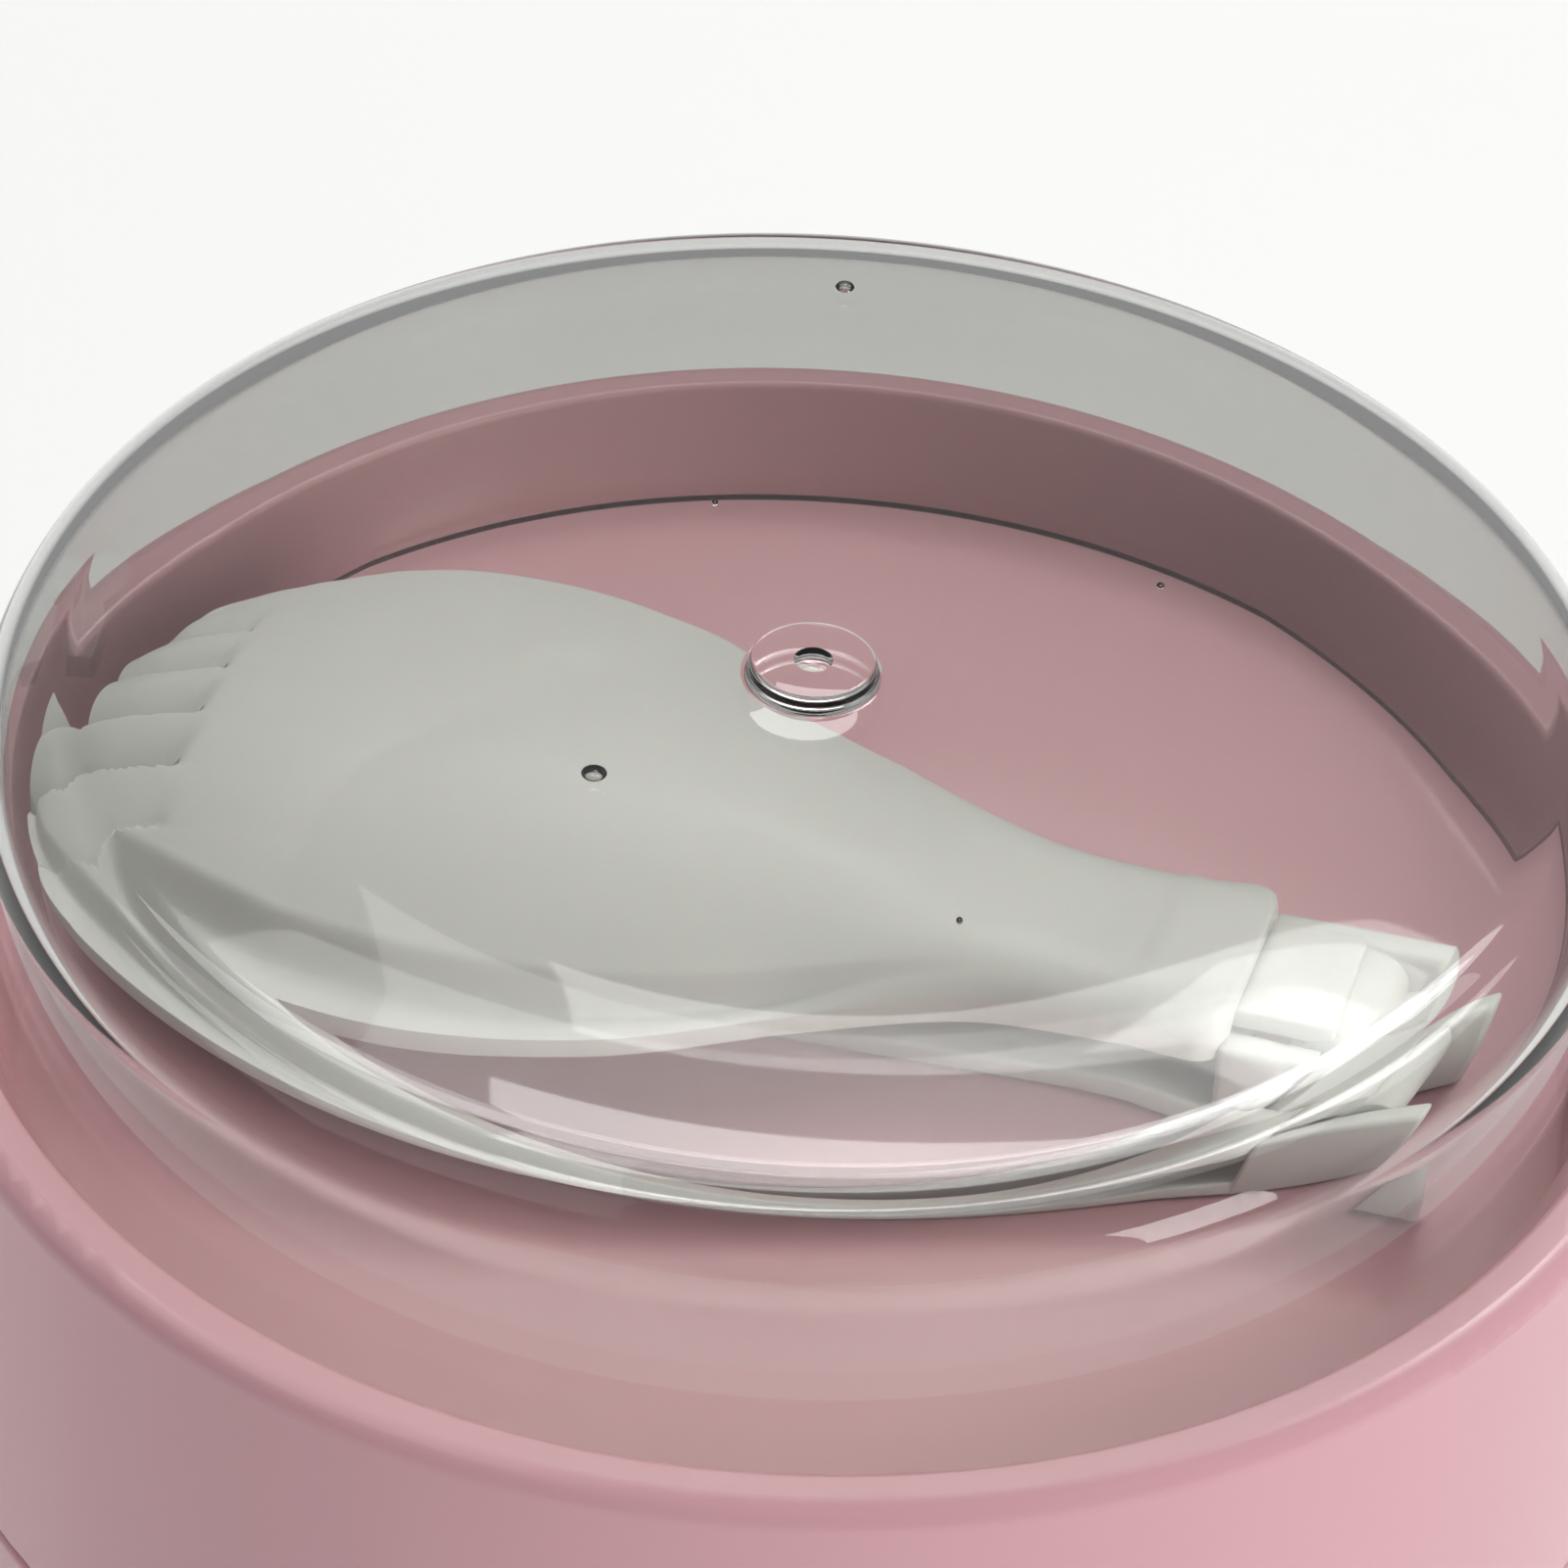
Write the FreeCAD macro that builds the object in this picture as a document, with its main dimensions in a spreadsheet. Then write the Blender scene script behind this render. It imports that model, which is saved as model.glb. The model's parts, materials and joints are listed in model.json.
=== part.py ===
import FreeCAD, Part
import math
import os

import Sketcher

# A single-serve ice cream maker, in millimetres, +Z up.
# The origin is the centre of the resting face; the front, with the button, faces -Y.
# From the bottom up it is: an insulated cup, a freezer bowl that lifts out of it,
# a lid unit with the motor, battery and gears that turn the paddle, and a clear cap
# that covers a folding spork lying on the lid unit's deck.

SIZES = {
    # lid collar and deck
    "rim_top": 150.0,
    "collar_radius": 53.5,
    "collar_wall": 3.5,
    "collar_bottom": 121.5,
    "deck_drop": 8.0,
    "deck_wall": 2.5,
    "rim_outer_round": 1.5,
    "rim_inner_round": 0.5,
    "collar_foot_round": 0.6,
    # clear cap
    "cap_radius": 48.5,
    "cap_wall": 2.0,
    "cap_top": 165.8,
    "cap_shoulder": 6.0,
    "cap_lip_gap": 0.3,
    "cap_lip_round": 0.4,
    "nub_radius": 3.75,
    "nub_rise": 1.0,
    "gate_radius": 1.0,
    "gate_depth": 0.4,
    # lid unit: the plug that closes the cup
    "plug_radius": 46.4,
    "plug_bore": 44.2,
    "plug_bottom": 95.0,
    "plug_floor": 2.5,
    "plug_flange_radius": 49.8,
    "plug_flange_wall": 1.8,
    "seal_inner": 38.4,
    "seal_outer": 44.4,
    "seal_groove": 1.2,
    "seal_proud": 0.7,
    # screws and the posts that they go into
    "boss_circle": 41.0,
    "boss_radius": 2.8,
    "boss_gap": 0.4,
    "boss_turn": 20.0,
    "pillar_circle": 33.0,
    "pillar_radius": 3.0,
    "screw_head_radius": 2.2,
    "screw_head_height": 1.6,
    "screw_shank_radius": 1.2,
    "screw_length": 9.0,
    "screw_slot_width": 0.6,
    "screw_slot_depth": 0.7,
    "screw_slot_share": 1.3,
    # gears: two equal stages
    "gear_module": 0.6,
    "gear_rim_wall": 3.0,
    "gear_web_share": 0.6,
    "gear_thick": 3.2,
    "gear_stage_gap": 0.8,
    "output_gear_bottom": 99.2,
    "hub_radius": 6.0,
    "idler_bore": 1.05,
    "idler_pin_radius": 1.0,
    "idler_pin_sink": 1.2,
    "motor_direction": 151.2,
    # output shaft, its bush and its seal
    "shaft_radius": 3.0,
    "shaft_tip_radius": 2.5,
    "shaft_bottom": 82.0,
    "running_gap": 0.05,
    "bush_radius": 5.0,
    "bush_wall": 2.0,
    "bush_split": 96.4,
    "bush_top": 98.6,
    # gear plate and motor
    "plate_bottom": 108.5,
    "plate_thick": 2.0,
    "plate_radius": 37.5,
    "motor_radius": 12.2,
    "motor_length": 24.0,
    "motor_wall": 0.9,
    "magnet_wall": 1.3,
    "motor_cap_length": 2.2,
    "motor_boss_radius": 3.0,
    "motor_shaft_radius": 1.0,
    "rotor_radius": 9.4,
    "rotor_length": 14.0,
    "rotor_end_gap": 3.0,
    "commutator_radius": 3.0,
    "commutator_length": 3.4,
    # battery
    "cell_radius": 9.25,
    "cell_length": 65.0,
    "cell_centre_back": 15.0,
    "cell_centre_height": 121.0,
    "cell_gap": 0.15,
    "cradle_length": 56.0,
    "cradle_width": 18.0,
    "cradle_height": 7.0,
    # boards, switch, button and charging socket
    "board_wall": 1.6,
    "board_half_width": 10.0,
    "board_bottom": 113.0,
    "board_top": 137.0,
    "board_back": 38.0,
    "rib_wall": 1.0,
    "rib_depth": 4.8,
    "rib_bottom": 118.0,
    "button_height": 131.0,
    "button_radius": 6.0,
    "button_gap": 0.15,
    "button_face": 53.0,
    "button_flange_radius": 7.0,
    "button_flange_wall": 1.0,
    "button_stem_radius": 2.0,
    "button_stem_end": 45.3,
    "lens_radius": 7.6,
    "lens_back": 49.2,
    "switch_half": 3.0,
    "switch_depth": 3.5,
    "plunger_radius": 1.75,
    "plunger_rise": 1.0,
    "socket_half_width": 4.5,
    "socket_tall": 3.2,
    "socket_deep": 7.4,
    "socket_wall": 0.3,
    "socket_bottom": 129.6,
    "socket_mouth": 50.0,
    "socket_slot_gap": 0.2,
    "socket_overhang": 2.0,
    "tongue_wide_share": 0.7,
    "tongue_deep_share": 0.8,
    "tongue_tall_share": 0.2,
    "chip_share": 0.7,
    "charge_half_width": 8.0,
    "charge_wall": 1.2,
    "charge_front": 38.5,
    "charge_post_radius": 1.2,
    "charge_post_spread": 6.4,
    "charge_post_back": 40.6,
    # cup
    "cup_top": 121.2,
    "cup_top_radius": 53.4,
    "cup_foot_radius": 50.0,
    "cup_foot": 1.5,
    "cup_wall": 2.4,
    "cup_foot_round": 1.2,
    "liner_bore": 46.8,
    "liner_well": 43.5,
    "liner_wall": 1.4,
    "liner_shelf": 92.0,
    "liner_floor": 12.6,
    "liner_lip_radius": 50.8,
    "foam_bottom": 16.0,
    "foam_top": 89.5,
    "foam_inner": 45.0,
    "foam_foot_radius": 47.6,
    "foam_top_radius": 49.6,
    "base_radius": 47.4,
    "base_bottom": 2.0,
    "base_wall": 2.4,
    "base_screw_circle": 30.0,
    "foot_inner": 38.0,
    "foot_outer": 45.0,
    "foot_round": 0.5,
    # freezer bowl
    "bowl_radius": 38.0,
    "bowl_wall": 1.0,
    "bowl_floor": 20.0,
    "bowl_round": 6.0,
    "bowl_flange_radius": 46.3,
    "bowl_flange_top": 94.2,
    "bowl_flange_wall": 1.0,
    "jacket_radius": 43.1,
    "jacket_wall": 1.5,
    "jacket_bottom": 14.4,
    "jacket_flange_wall": 1.1,
    "gel_gap": 0.1,
    "gel_top": 90.5,
    "filler_radius": 4.0,
    "filler_height": 2.2,
    # paddle
    "paddle_half_width": 36.2,
    "paddle_thick": 3.2,
    "paddle_bottom": 22.5,
    "paddle_top": 88.0,
    "paddle_arm": 5.0,
    "paddle_spine": 9.0,
    "paddle_corner": 7.0,
    "paddle_hub_radius": 5.6,
    "paddle_hub_height": 11.0,
    "paddle_hub_gap": 2.0,
    "scraper_reach": 1.4,
    "scraper_thick": 1.2,
    "scraper_margin": 10.0,
    # spork
    "spork_turn": -14.0,
    "spork_tip_left": -43.7,
    "spork_tip_back": 9.4,
    "spork_wall": 1.6,
    "spork_rim_height": 149.8,
    "spork_hinge_along": 79.0,
    "spork_hinge_height": 147.4,
    "spork_neck_end": 73.0,
    "spork_ear_start": 73.6,
    "spork_ear_end": 84.4,
    "spork_ear_top": 149.7,
    "spork_ear_inner": 5.0,
    "spork_ear_outer": 7.2,
    "spork_pin_radius": 1.3,
    "spork_pin_gap": 0.07,
    "spork_knuckle_radius": 2.9,
    "spork_knuckle_half": 4.8,
    "spork_handle_start": 14.0,
    "spork_handle_half": 6.2,
    "spork_handle_wall": 2.0,
    "spork_lift": 0.4,
    "tine_slot": 1.1,
    "tine_length": 8.0,
    "tine_pitch": 4.8,
}

STAGE_TEETH = (12, 60)
PRESSURE_ANGLE = math.radians(20)
ADDENDUM = 0.75
DEDENDUM = 1.25
TOOTH_BACKLASH = 0.05
BOSS_COUNT = 4
PLATE_SCREW_ANGLES = (0, 90, 180)
BASE_SCREW_ANGLES = (90, 210, 330)
TINE_SLOTS = (-1.5, -0.5, 0.5, 1.5)

# Stations along the spork's upper half, from the tips: distance, half width, crown height.
SPORK_STATIONS = (
    (0.0, 7.6, 2.0),
    (3.0, 14.0, 3.6),
    (9.0, 18.0, 5.6),
    (18.0, 21.2, 7.0),
    (28.0, 21.6, 7.2),
    (38.0, 18.4, 6.4),
    (48.0, 12.0, 4.3),
    (57.0, 7.4, 3.2),
    (73.0, 7.6, 2.8),
)


class Size(float):
    """A number that also carries the sheet expression that gives it."""

    def __new__(cls, value, text):
        self = super().__new__(cls, value)
        self.text = text
        return self

    def _join(self, other, sign, result, swapped=False):
        pair = (text_of(other), self.text) if swapped else (self.text, text_of(other))
        return Size(result, f"({pair[0]} {sign} {pair[1]})")

    def __add__(self, other):
        return self._join(other, "+", float(self) + float(other))

    def __radd__(self, other):
        return self._join(other, "+", float(other) + float(self), True)

    def __sub__(self, other):
        return self._join(other, "-", float(self) - float(other))

    def __rsub__(self, other):
        return self._join(other, "-", float(other) - float(self), True)

    def __mul__(self, other):
        return self._join(other, "*", float(self) * float(other))

    def __rmul__(self, other):
        return self._join(other, "*", float(other) * float(self), True)

    def __truediv__(self, other):
        return self._join(other, "/", float(self) / float(other))

    def __neg__(self):
        return Size(-float(self), f"(0 - {self.text})")


def text_of(number):
    """The expression for a size, or the plain number."""
    return getattr(number, "text", repr(float(number)))


class Sizes:
    """Every driving dimension as an attribute, bound to its cell in the sheet."""

    def __init__(self, document):
        sheet = document.addObject("Spreadsheet::Sheet", "Sizes")
        for row, (alias, value) in enumerate(SIZES.items(), 1):
            sheet.set(f"A{row}", alias)
            sheet.set(f"B{row}", str(value))
            sheet.setAlias(f"B{row}", alias)
            setattr(self, alias, Size(value, f"Sizes.{alias}"))
        document.recompute()


doc = FreeCAD.newDocument("ice_cream_maker")
dim = Sizes(doc)
parts = []

deck_top = dim.rim_top - dim.deck_drop
deck_bottom = deck_top - dim.deck_wall
collar_bore = dim.collar_radius - dim.collar_wall
plug_floor_top = dim.plug_bottom + dim.plug_floor
plate_top = dim.plate_bottom + dim.plate_thick
motor_top = plate_top + dim.motor_length
motor_cap_top = motor_top + dim.motor_cap_length
idler_gear_bottom = dim.output_gear_bottom + dim.gear_thick + dim.gear_stage_gap
gear_distance = dim.gear_module * (sum(STAGE_TEETH) / 2)
idler_y = -gear_distance
motor_x = gear_distance * math.cos(math.radians(dim.motor_direction))
motor_y = idler_y + gear_distance * math.sin(math.radians(dim.motor_direction))
spork_bottom = deck_top + dim.spork_lift


# ---------------------------------------------------------------- helpers

def keep(item, label):
    """List a finished sub-part under its own label."""
    item.Label = label
    parts.append(item)
    return item


def bind(item, prop, number):
    """Set a property from the sheet, or to a plain number."""
    item.setExpression(prop, text_of(number))


def put(item, x=0, y=0, z=0):
    """Bind an object's place."""
    for axis, number in (("x", x), ("y", y), ("z", z)):
        bind(item, f".Placement.Base.{axis}", number)
    return item


def body(label):
    return keep(doc.addObject("PartDesign::Body", label), label)


def sketch_on(owner, role):
    """A new sketch on one of the body's own origin planes."""
    plane = next(item for item in owner.Origin.OriginFeatures if item.Role == role)
    sketch = owner.newObject("Sketcher::SketchObject", f"{owner.Name}_sketch")
    sketch.AttachmentSupport = [(plane, "")]
    sketch.MapMode = "FlatFace"
    return sketch


def hold(sketch, kind, geometry, point, number):
    """Fix one coordinate of a point of the sketch, bound to the sheet."""
    row = sketch.addConstraint(Sketcher.Constraint(kind, geometry, point, float(number)))
    sketch.setExpression(f"Constraints[{row}]", text_of(number))


def polygon(sketch, corners):
    """A closed outline whose corners are held by their two coordinates."""
    first = sketch.GeometryCount
    count = len(corners)
    points = [FreeCAD.Vector(float(x), float(y), 0) for x, y in corners]
    for index, point in enumerate(points):
        sketch.addGeometry(Part.LineSegment(point, points[(index + 1) % count]), False)
    for index in range(count):
        following = first + (index + 1) % count
        sketch.addConstraint(Sketcher.Constraint("Coincident", first + index, 2, following, 1))
    for index, (x, y) in enumerate(corners):
        hold(sketch, "DistanceX", first + index, 1, x)
        hold(sketch, "DistanceY", first + index, 1, y)


def circle(sketch, x, y, radius):
    """A circle held by its centre and its radius."""
    centre = FreeCAD.Vector(float(x), float(y), 0)
    shape = Part.Circle(centre, FreeCAD.Vector(0, 0, 1), float(radius))
    index = sketch.addGeometry(shape, False)
    row = sketch.addConstraint(Sketcher.Constraint("Radius", index, float(radius)))
    sketch.setExpression(f"Constraints[{row}]", text_of(radius))
    hold(sketch, "DistanceX", index, 3, x)
    hold(sketch, "DistanceY", index, 3, y)


def rectangle(sketch, left, low, right, high):
    polygon(sketch, [(left, low), (right, low), (right, high), (left, high)])


def turn(owner, outline):
    """Turn an outline of (radius, height) corners about Z."""
    sketch = sketch_on(owner, "XZ_Plane")
    polygon(sketch, outline)
    feature = owner.newObject("PartDesign::Revolution", f"{owner.Name}_turn")
    feature.Profile = sketch
    feature.ReferenceAxis = (sketch, ["V_Axis"])
    feature.Angle = 360
    doc.recompute()
    return owner


def lathe(label, outline):
    return turn(body(label), outline)


def pad(owner, role, draw, start, length, backwards=False, cut=False):
    """Pad, or cut, what draw() puts on a sketch that stands start away from a plane."""
    sketch = sketch_on(owner, role)
    sketch.setExpression(".AttachmentOffset.Base.z", text_of(start))
    draw(sketch)
    kind = "Pocket" if cut else "Pad"
    volume = owner.Shape.Volume if owner.Tip else 0
    feature = owner.newObject(f"PartDesign::{kind}", f"{owner.Name}_{kind}")
    feature.Profile = sketch
    bind(feature, "Length", length)
    feature.Reversed = backwards
    doc.recompute()
    changed = owner.Shape.Volume - volume
    if (changed >= 0) if cut else (changed <= 0):
        raise RuntimeError(f"{owner.Label}: a {kind} changed nothing")
    return feature


def repeat(owner, feature, count):
    """Repeat a feature about Z."""
    axis = next(item for item in owner.Origin.OriginFeatures if item.Role == "Z_Axis")
    pattern = owner.newObject("PartDesign::PolarPattern", f"{owner.Name}_pattern")
    pattern.Originals = [feature]
    pattern.Axis = (axis, [""])
    pattern.Angle = 360
    pattern.Occurrences = count
    owner.Tip = pattern
    doc.recompute()


def ring_edges(shape, radius, height):
    """Names of the circular edges about Z with this radius and height."""
    names = []
    for number, edge in enumerate(shape.Edges, 1):
        curve = edge.Curve
        if not isinstance(curve, Part.Circle):
            continue
        same_height = abs(curve.Center.z - height) < 0.01
        if same_height and abs(curve.Radius - radius) < 0.01:
            names.append(f"Edge{number}")
    return names


def round_ring(owner, radius, height, size):
    """Fillet the circular edges at one radius and height."""
    tip = owner.Tip
    names = ring_edges(tip.Shape, float(radius), float(height))
    if not names:
        raise RuntimeError(f"{owner.Label}: no edge to round at {float(radius)}, {float(height)}")
    feature = owner.newObject("PartDesign::Fillet", f"{owner.Name}_round")
    feature.Base = (tip, names)
    bind(feature, "Radius", size)
    doc.recompute()


def cylinder(radius, height, x=0, y=0, z=0, turned=None):
    """A round bar from (x, y, z), along +Z or along a turned axis."""
    item = doc.addObject("Part::Cylinder", "cylinder")
    bind(item, "Radius", radius)
    bind(item, "Height", height)
    if turned:
        item.Placement = FreeCAD.Placement(FreeCAD.Vector(), turned)
    return put(item, x, y, z)


def box(x, y, z, length, width, height):
    """A box from its lowest corner."""
    item = doc.addObject("Part::Box", "box")
    bind(item, "Length", length)
    bind(item, "Width", width)
    bind(item, "Height", height)
    return put(item, x, y, z)


def fuse(*items):
    item = doc.addObject("Part::MultiFuse", "fuse")
    item.Shapes = list(items)
    return item


def cut(base, tool):
    item = doc.addObject("Part::Cut", "cut")
    item.Base = base
    item.Tool = tool
    return item


def gather(items):
    item = doc.addObject("Part::Compound", "group")
    item.Links = list(items)
    return item


def shape_part(label, shape):
    """A sub-part whose form only Part's own functions give."""
    item = doc.addObject("Part::Feature", label)
    item.Shape = shape
    return keep(item, label)


def on_circle(radius, angle):
    """A point on a circle about Z."""
    turn_by = math.radians(angle)
    return radius * math.cos(turn_by), radius * math.sin(turn_by)


ALONG_Y = FreeCAD.Rotation(FreeCAD.Vector(1, 0, 0), -90)
ALONG_X = FreeCAD.Rotation(FreeCAD.Vector(0, 1, 0), 90)


def screws(label, circle_radius, angles, head_z, points_up):
    """Cross-head screws on a circle; the head's face is at head_z."""
    group = []
    for angle in angles:
        x, y = on_circle(circle_radius, angle)
        head_low = head_z if points_up else head_z - dim.screw_head_height
        shank_low = head_z if points_up else head_z - dim.screw_length
        slot_low = head_z if points_up else head_z - dim.screw_slot_depth
        head = cylinder(dim.screw_head_radius, dim.screw_head_height, x, y, head_low)
        shank = cylinder(dim.screw_shank_radius, dim.screw_length, x, y, shank_low)
        reach = dim.screw_head_radius * dim.screw_slot_share
        thin = dim.screw_slot_width
        half_reach = reach / 2
        half_thin = thin / 2
        deep = dim.screw_slot_depth
        slot_a = box(x - half_reach, y - half_thin, slot_low, reach, thin, deep)
        slot_b = box(x - half_thin, y - half_reach, slot_low, thin, reach, deep)
        group.append(cut(fuse(head, shank), fuse(slot_a, slot_b)))
    return keep(gather(group), label)


# ---------------------------------------------------------------- lid unit: shells

def collar_housing():
    """The collar with its raised rim and the deck that the spork lies on."""
    item = lathe("collar_housing", [
        (0, deck_bottom),
        (collar_bore, deck_bottom),
        (collar_bore, dim.collar_bottom),
        (dim.collar_radius, dim.collar_bottom),
        (dim.collar_radius, dim.rim_top),
        (collar_bore, dim.rim_top),
        (collar_bore, deck_top),
        (0, deck_top),
    ])
    round_ring(item, dim.collar_radius, dim.rim_top, dim.rim_outer_round)
    round_ring(item, collar_bore, dim.rim_top, dim.rim_inner_round)
    round_ring(item, dim.collar_radius, dim.collar_bottom, dim.collar_foot_round)
    boss_length = deck_bottom - plug_floor_top - dim.boss_gap
    x, y = on_circle(dim.boss_circle, dim.boss_turn)

    def boss(sketch):
        circle(sketch, x, y, dim.boss_radius)
        circle(sketch, x, y, dim.screw_shank_radius)

    repeat(item, pad(item, "XY_Plane", boss, deck_bottom, boss_length, True), BOSS_COUNT)
    pad(item, "XY_Plane", board_ribs, deck_bottom, deck_bottom - dim.rib_bottom, True)
    posts_length = deck_bottom - dim.socket_bottom
    pad(item, "XY_Plane", charge_posts, deck_bottom, posts_length, True)
    window = dim.collar_radius - dim.lens_back + 1
    pad(item, "XZ_Plane", button_window, dim.lens_back - 1, window, True, cut=True)
    pad(item, "XZ_Plane", socket_slot, -dim.collar_radius, dim.collar_wall + 1, True, cut=True)
    return item


def board_ribs(sketch):
    """Two ribs that the front circuit board slides between."""
    front = -(dim.board_back + dim.board_wall + dim.rib_depth / 3)
    for side in (1, -1):
        inner = dim.board_half_width * side
        outer = (dim.board_half_width + dim.rib_wall) * side
        rectangle(sketch, min(inner, outer), front, max(inner, outer), front + dim.rib_depth)


def charge_posts(sketch):
    """Two posts that the charging board hangs on."""
    for side in (1, -1):
        circle(sketch, dim.charge_post_spread * side, dim.charge_post_back,
               dim.charge_post_radius)


def button_window(sketch):
    """The round window for the button and the light ring round it."""
    circle(sketch, 0, dim.button_height, dim.lens_radius)


def socket_slot(sketch):
    """The slot in front of the charging socket."""
    half = dim.socket_half_width + dim.socket_slot_gap
    low = dim.socket_bottom - dim.socket_slot_gap
    rectangle(sketch, -half, low, half, low + dim.socket_tall + dim.socket_slot_gap * 2)


def bottom_cover():
    """The plug under the lid unit, with pillars for the gear plate."""
    item = lathe("bottom_cover", [
        (dim.bush_radius, dim.plug_bottom),
        (dim.plug_radius, dim.plug_bottom),
        (dim.plug_radius, dim.collar_bottom),
        (dim.plug_flange_radius, dim.collar_bottom),
        (dim.plug_flange_radius, dim.collar_bottom + dim.plug_flange_wall),
        (dim.plug_bore, dim.collar_bottom + dim.plug_flange_wall),
        (dim.plug_bore, plug_floor_top),
        (dim.hub_radius + dim.bush_wall, plug_floor_top),
        (dim.hub_radius + dim.bush_wall, dim.bush_top),
        (dim.bush_radius, dim.bush_top),
    ])

    def groove(sketch):
        circle(sketch, 0, 0, dim.seal_outer)
        circle(sketch, 0, 0, dim.seal_inner)

    def pin_socket(sketch):
        circle(sketch, 0, idler_y, dim.idler_pin_radius)

    def pillars(sketch):
        for angle in PLATE_SCREW_ANGLES:
            x, y = on_circle(dim.pillar_circle, angle)
            circle(sketch, x, y, dim.pillar_radius)
            circle(sketch, x, y, dim.screw_shank_radius)

    def screw_holes(radius):
        def draw(sketch):
            for index in range(BOSS_COUNT):
                angle = dim.boss_turn + 360 / BOSS_COUNT * index
                x, y = on_circle(dim.boss_circle, angle)
                circle(sketch, x, y, radius)
        return draw

    pad(item, "XY_Plane", pillars, plug_floor_top, dim.plate_bottom - plug_floor_top)
    pad(item, "XY_Plane", groove, dim.plug_bottom, dim.seal_groove, True, cut=True)
    pad(item, "XY_Plane", pin_socket, plug_floor_top, dim.idler_pin_sink, cut=True)
    groove_top = dim.plug_bottom + dim.seal_groove
    head = screw_holes(dim.screw_head_radius)
    pad(item, "XY_Plane", head, groove_top, dim.plug_floor - dim.seal_groove, True, cut=True)
    return item


def lid_seal():
    """The soft ring that closes on the bowl's rim and hides the cover screws."""
    top = dim.plug_bottom + dim.seal_groove
    low = dim.plug_bottom - dim.seal_proud
    item = lathe("lid_seal", [
        (dim.seal_inner, low),
        (dim.seal_outer, low),
        (dim.seal_outer, top),
        (dim.seal_inner, top),
    ])
    round_ring(item, dim.seal_inner, low, dim.cap_lip_round)
    round_ring(item, dim.seal_outer, low, dim.cap_lip_round)
    return item


def cover_screws():
    angles = [dim.boss_turn + 360 / BOSS_COUNT * index for index in range(BOSS_COUNT)]
    head_z = dim.plug_bottom + dim.seal_groove
    return screws("cover_screws", dim.boss_circle, angles, head_z, True)


# ---------------------------------------------------------------- lid unit: drive

def gear_plate():
    """The plate that carries the motor above and the gears' upper ends."""
    plate = cylinder(dim.plate_radius, dim.plate_thick, 0, 0, dim.plate_bottom)
    deep = dim.plate_thick
    low = dim.plate_bottom
    holes = [
        cylinder(dim.shaft_tip_radius + dim.running_gap, deep, 0, 0, low),
        cylinder(dim.idler_pin_radius, deep, 0, idler_y, low),
        cylinder(dim.motor_boss_radius, deep, motor_x, motor_y, low),
    ]
    for angle in PLATE_SCREW_ANGLES:
        x, y = on_circle(dim.pillar_circle, angle)
        holes.append(cylinder(dim.screw_shank_radius, deep, x, y, low))
    return keep(cut(plate, fuse(*holes)), "gear_plate")


def plate_screws():
    head_z = plate_top + dim.screw_head_height
    return screws("plate_screws", dim.pillar_circle, PLATE_SCREW_ANGLES, head_z, False)


def motor_can():
    """The drawn steel can of the motor, with its bearing boss through the plate."""
    radius = dim.motor_radius
    bore = dim.motor_shaft_radius + dim.running_gap
    item = lathe("motor_can", [
        (bore, dim.plate_bottom),
        (dim.motor_boss_radius, dim.plate_bottom),
        (dim.motor_boss_radius, plate_top),
        (radius, plate_top),
        (radius, motor_top),
        (radius - dim.motor_wall, motor_top),
        (radius - dim.motor_wall, plate_top + dim.motor_wall),
        (bore, plate_top + dim.motor_wall),
    ])
    round_ring(item, radius, plate_top, dim.collar_foot_round)
    return put(item, motor_x, motor_y)


def motor_magnets():
    """The ring magnet inside the can."""
    outer = dim.motor_radius - dim.motor_wall
    low = plate_top + dim.rotor_end_gap
    item = lathe("motor_magnets", [
        (outer - dim.magnet_wall, low),
        (outer, low),
        (outer, low + dim.rotor_length),
        (outer - dim.magnet_wall, low + dim.rotor_length),
    ])
    return put(item, motor_x, motor_y)


def motor_end_cap():
    """The moulded end of the motor, with its two terminals."""
    outer = dim.motor_radius - dim.motor_wall
    item = lathe("motor_end_cap", [
        (0, motor_top),
        (outer, motor_top),
        (dim.motor_radius, motor_top),
        (dim.motor_radius, motor_cap_top),
        (0, motor_cap_top),
    ])

    def terminals(sketch):
        for side in (1, -1):
            middle = outer / 2 * side
            half = dim.board_wall
            thin = dim.socket_wall
            rectangle(sketch, middle - half, -thin, middle + half, thin)

    pad(item, "XY_Plane", terminals, motor_cap_top, dim.board_wall)
    return put(item, motor_x, motor_y)


def rotor_core():
    """The wound core and the commutator, on the motor's shaft."""
    low = plate_top + dim.rotor_end_gap
    high = low + dim.rotor_length
    shaft = dim.motor_shaft_radius
    item = lathe("rotor_core", [
        (shaft, low),
        (dim.rotor_radius, low),
        (dim.rotor_radius, high),
        (dim.commutator_radius, high),
        (dim.commutator_radius, high + dim.commutator_length),
        (shaft, high + dim.commutator_length),
    ])
    return put(item, motor_x, motor_y)


def motor_shaft():
    """The steel shaft, from the pinion up to the end cap."""
    low = idler_gear_bottom
    high = motor_top - dim.cap_lip_gap
    item = lathe("motor_shaft", [
        (0, low),
        (dim.motor_shaft_radius, low),
        (dim.motor_shaft_radius, high),
        (0, high),
    ])
    return put(item, motor_x, motor_y)


def involute_point(base, radius, side, offset):
    """A point on a tooth's flank, at a distance from the gear's centre."""
    spread = math.sqrt(max((radius / base) ** 2 - 1, 0))
    angle = side * (offset - (spread - math.atan(spread)))
    return FreeCAD.Vector(radius * math.cos(angle), radius * math.sin(angle), 0)


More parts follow.
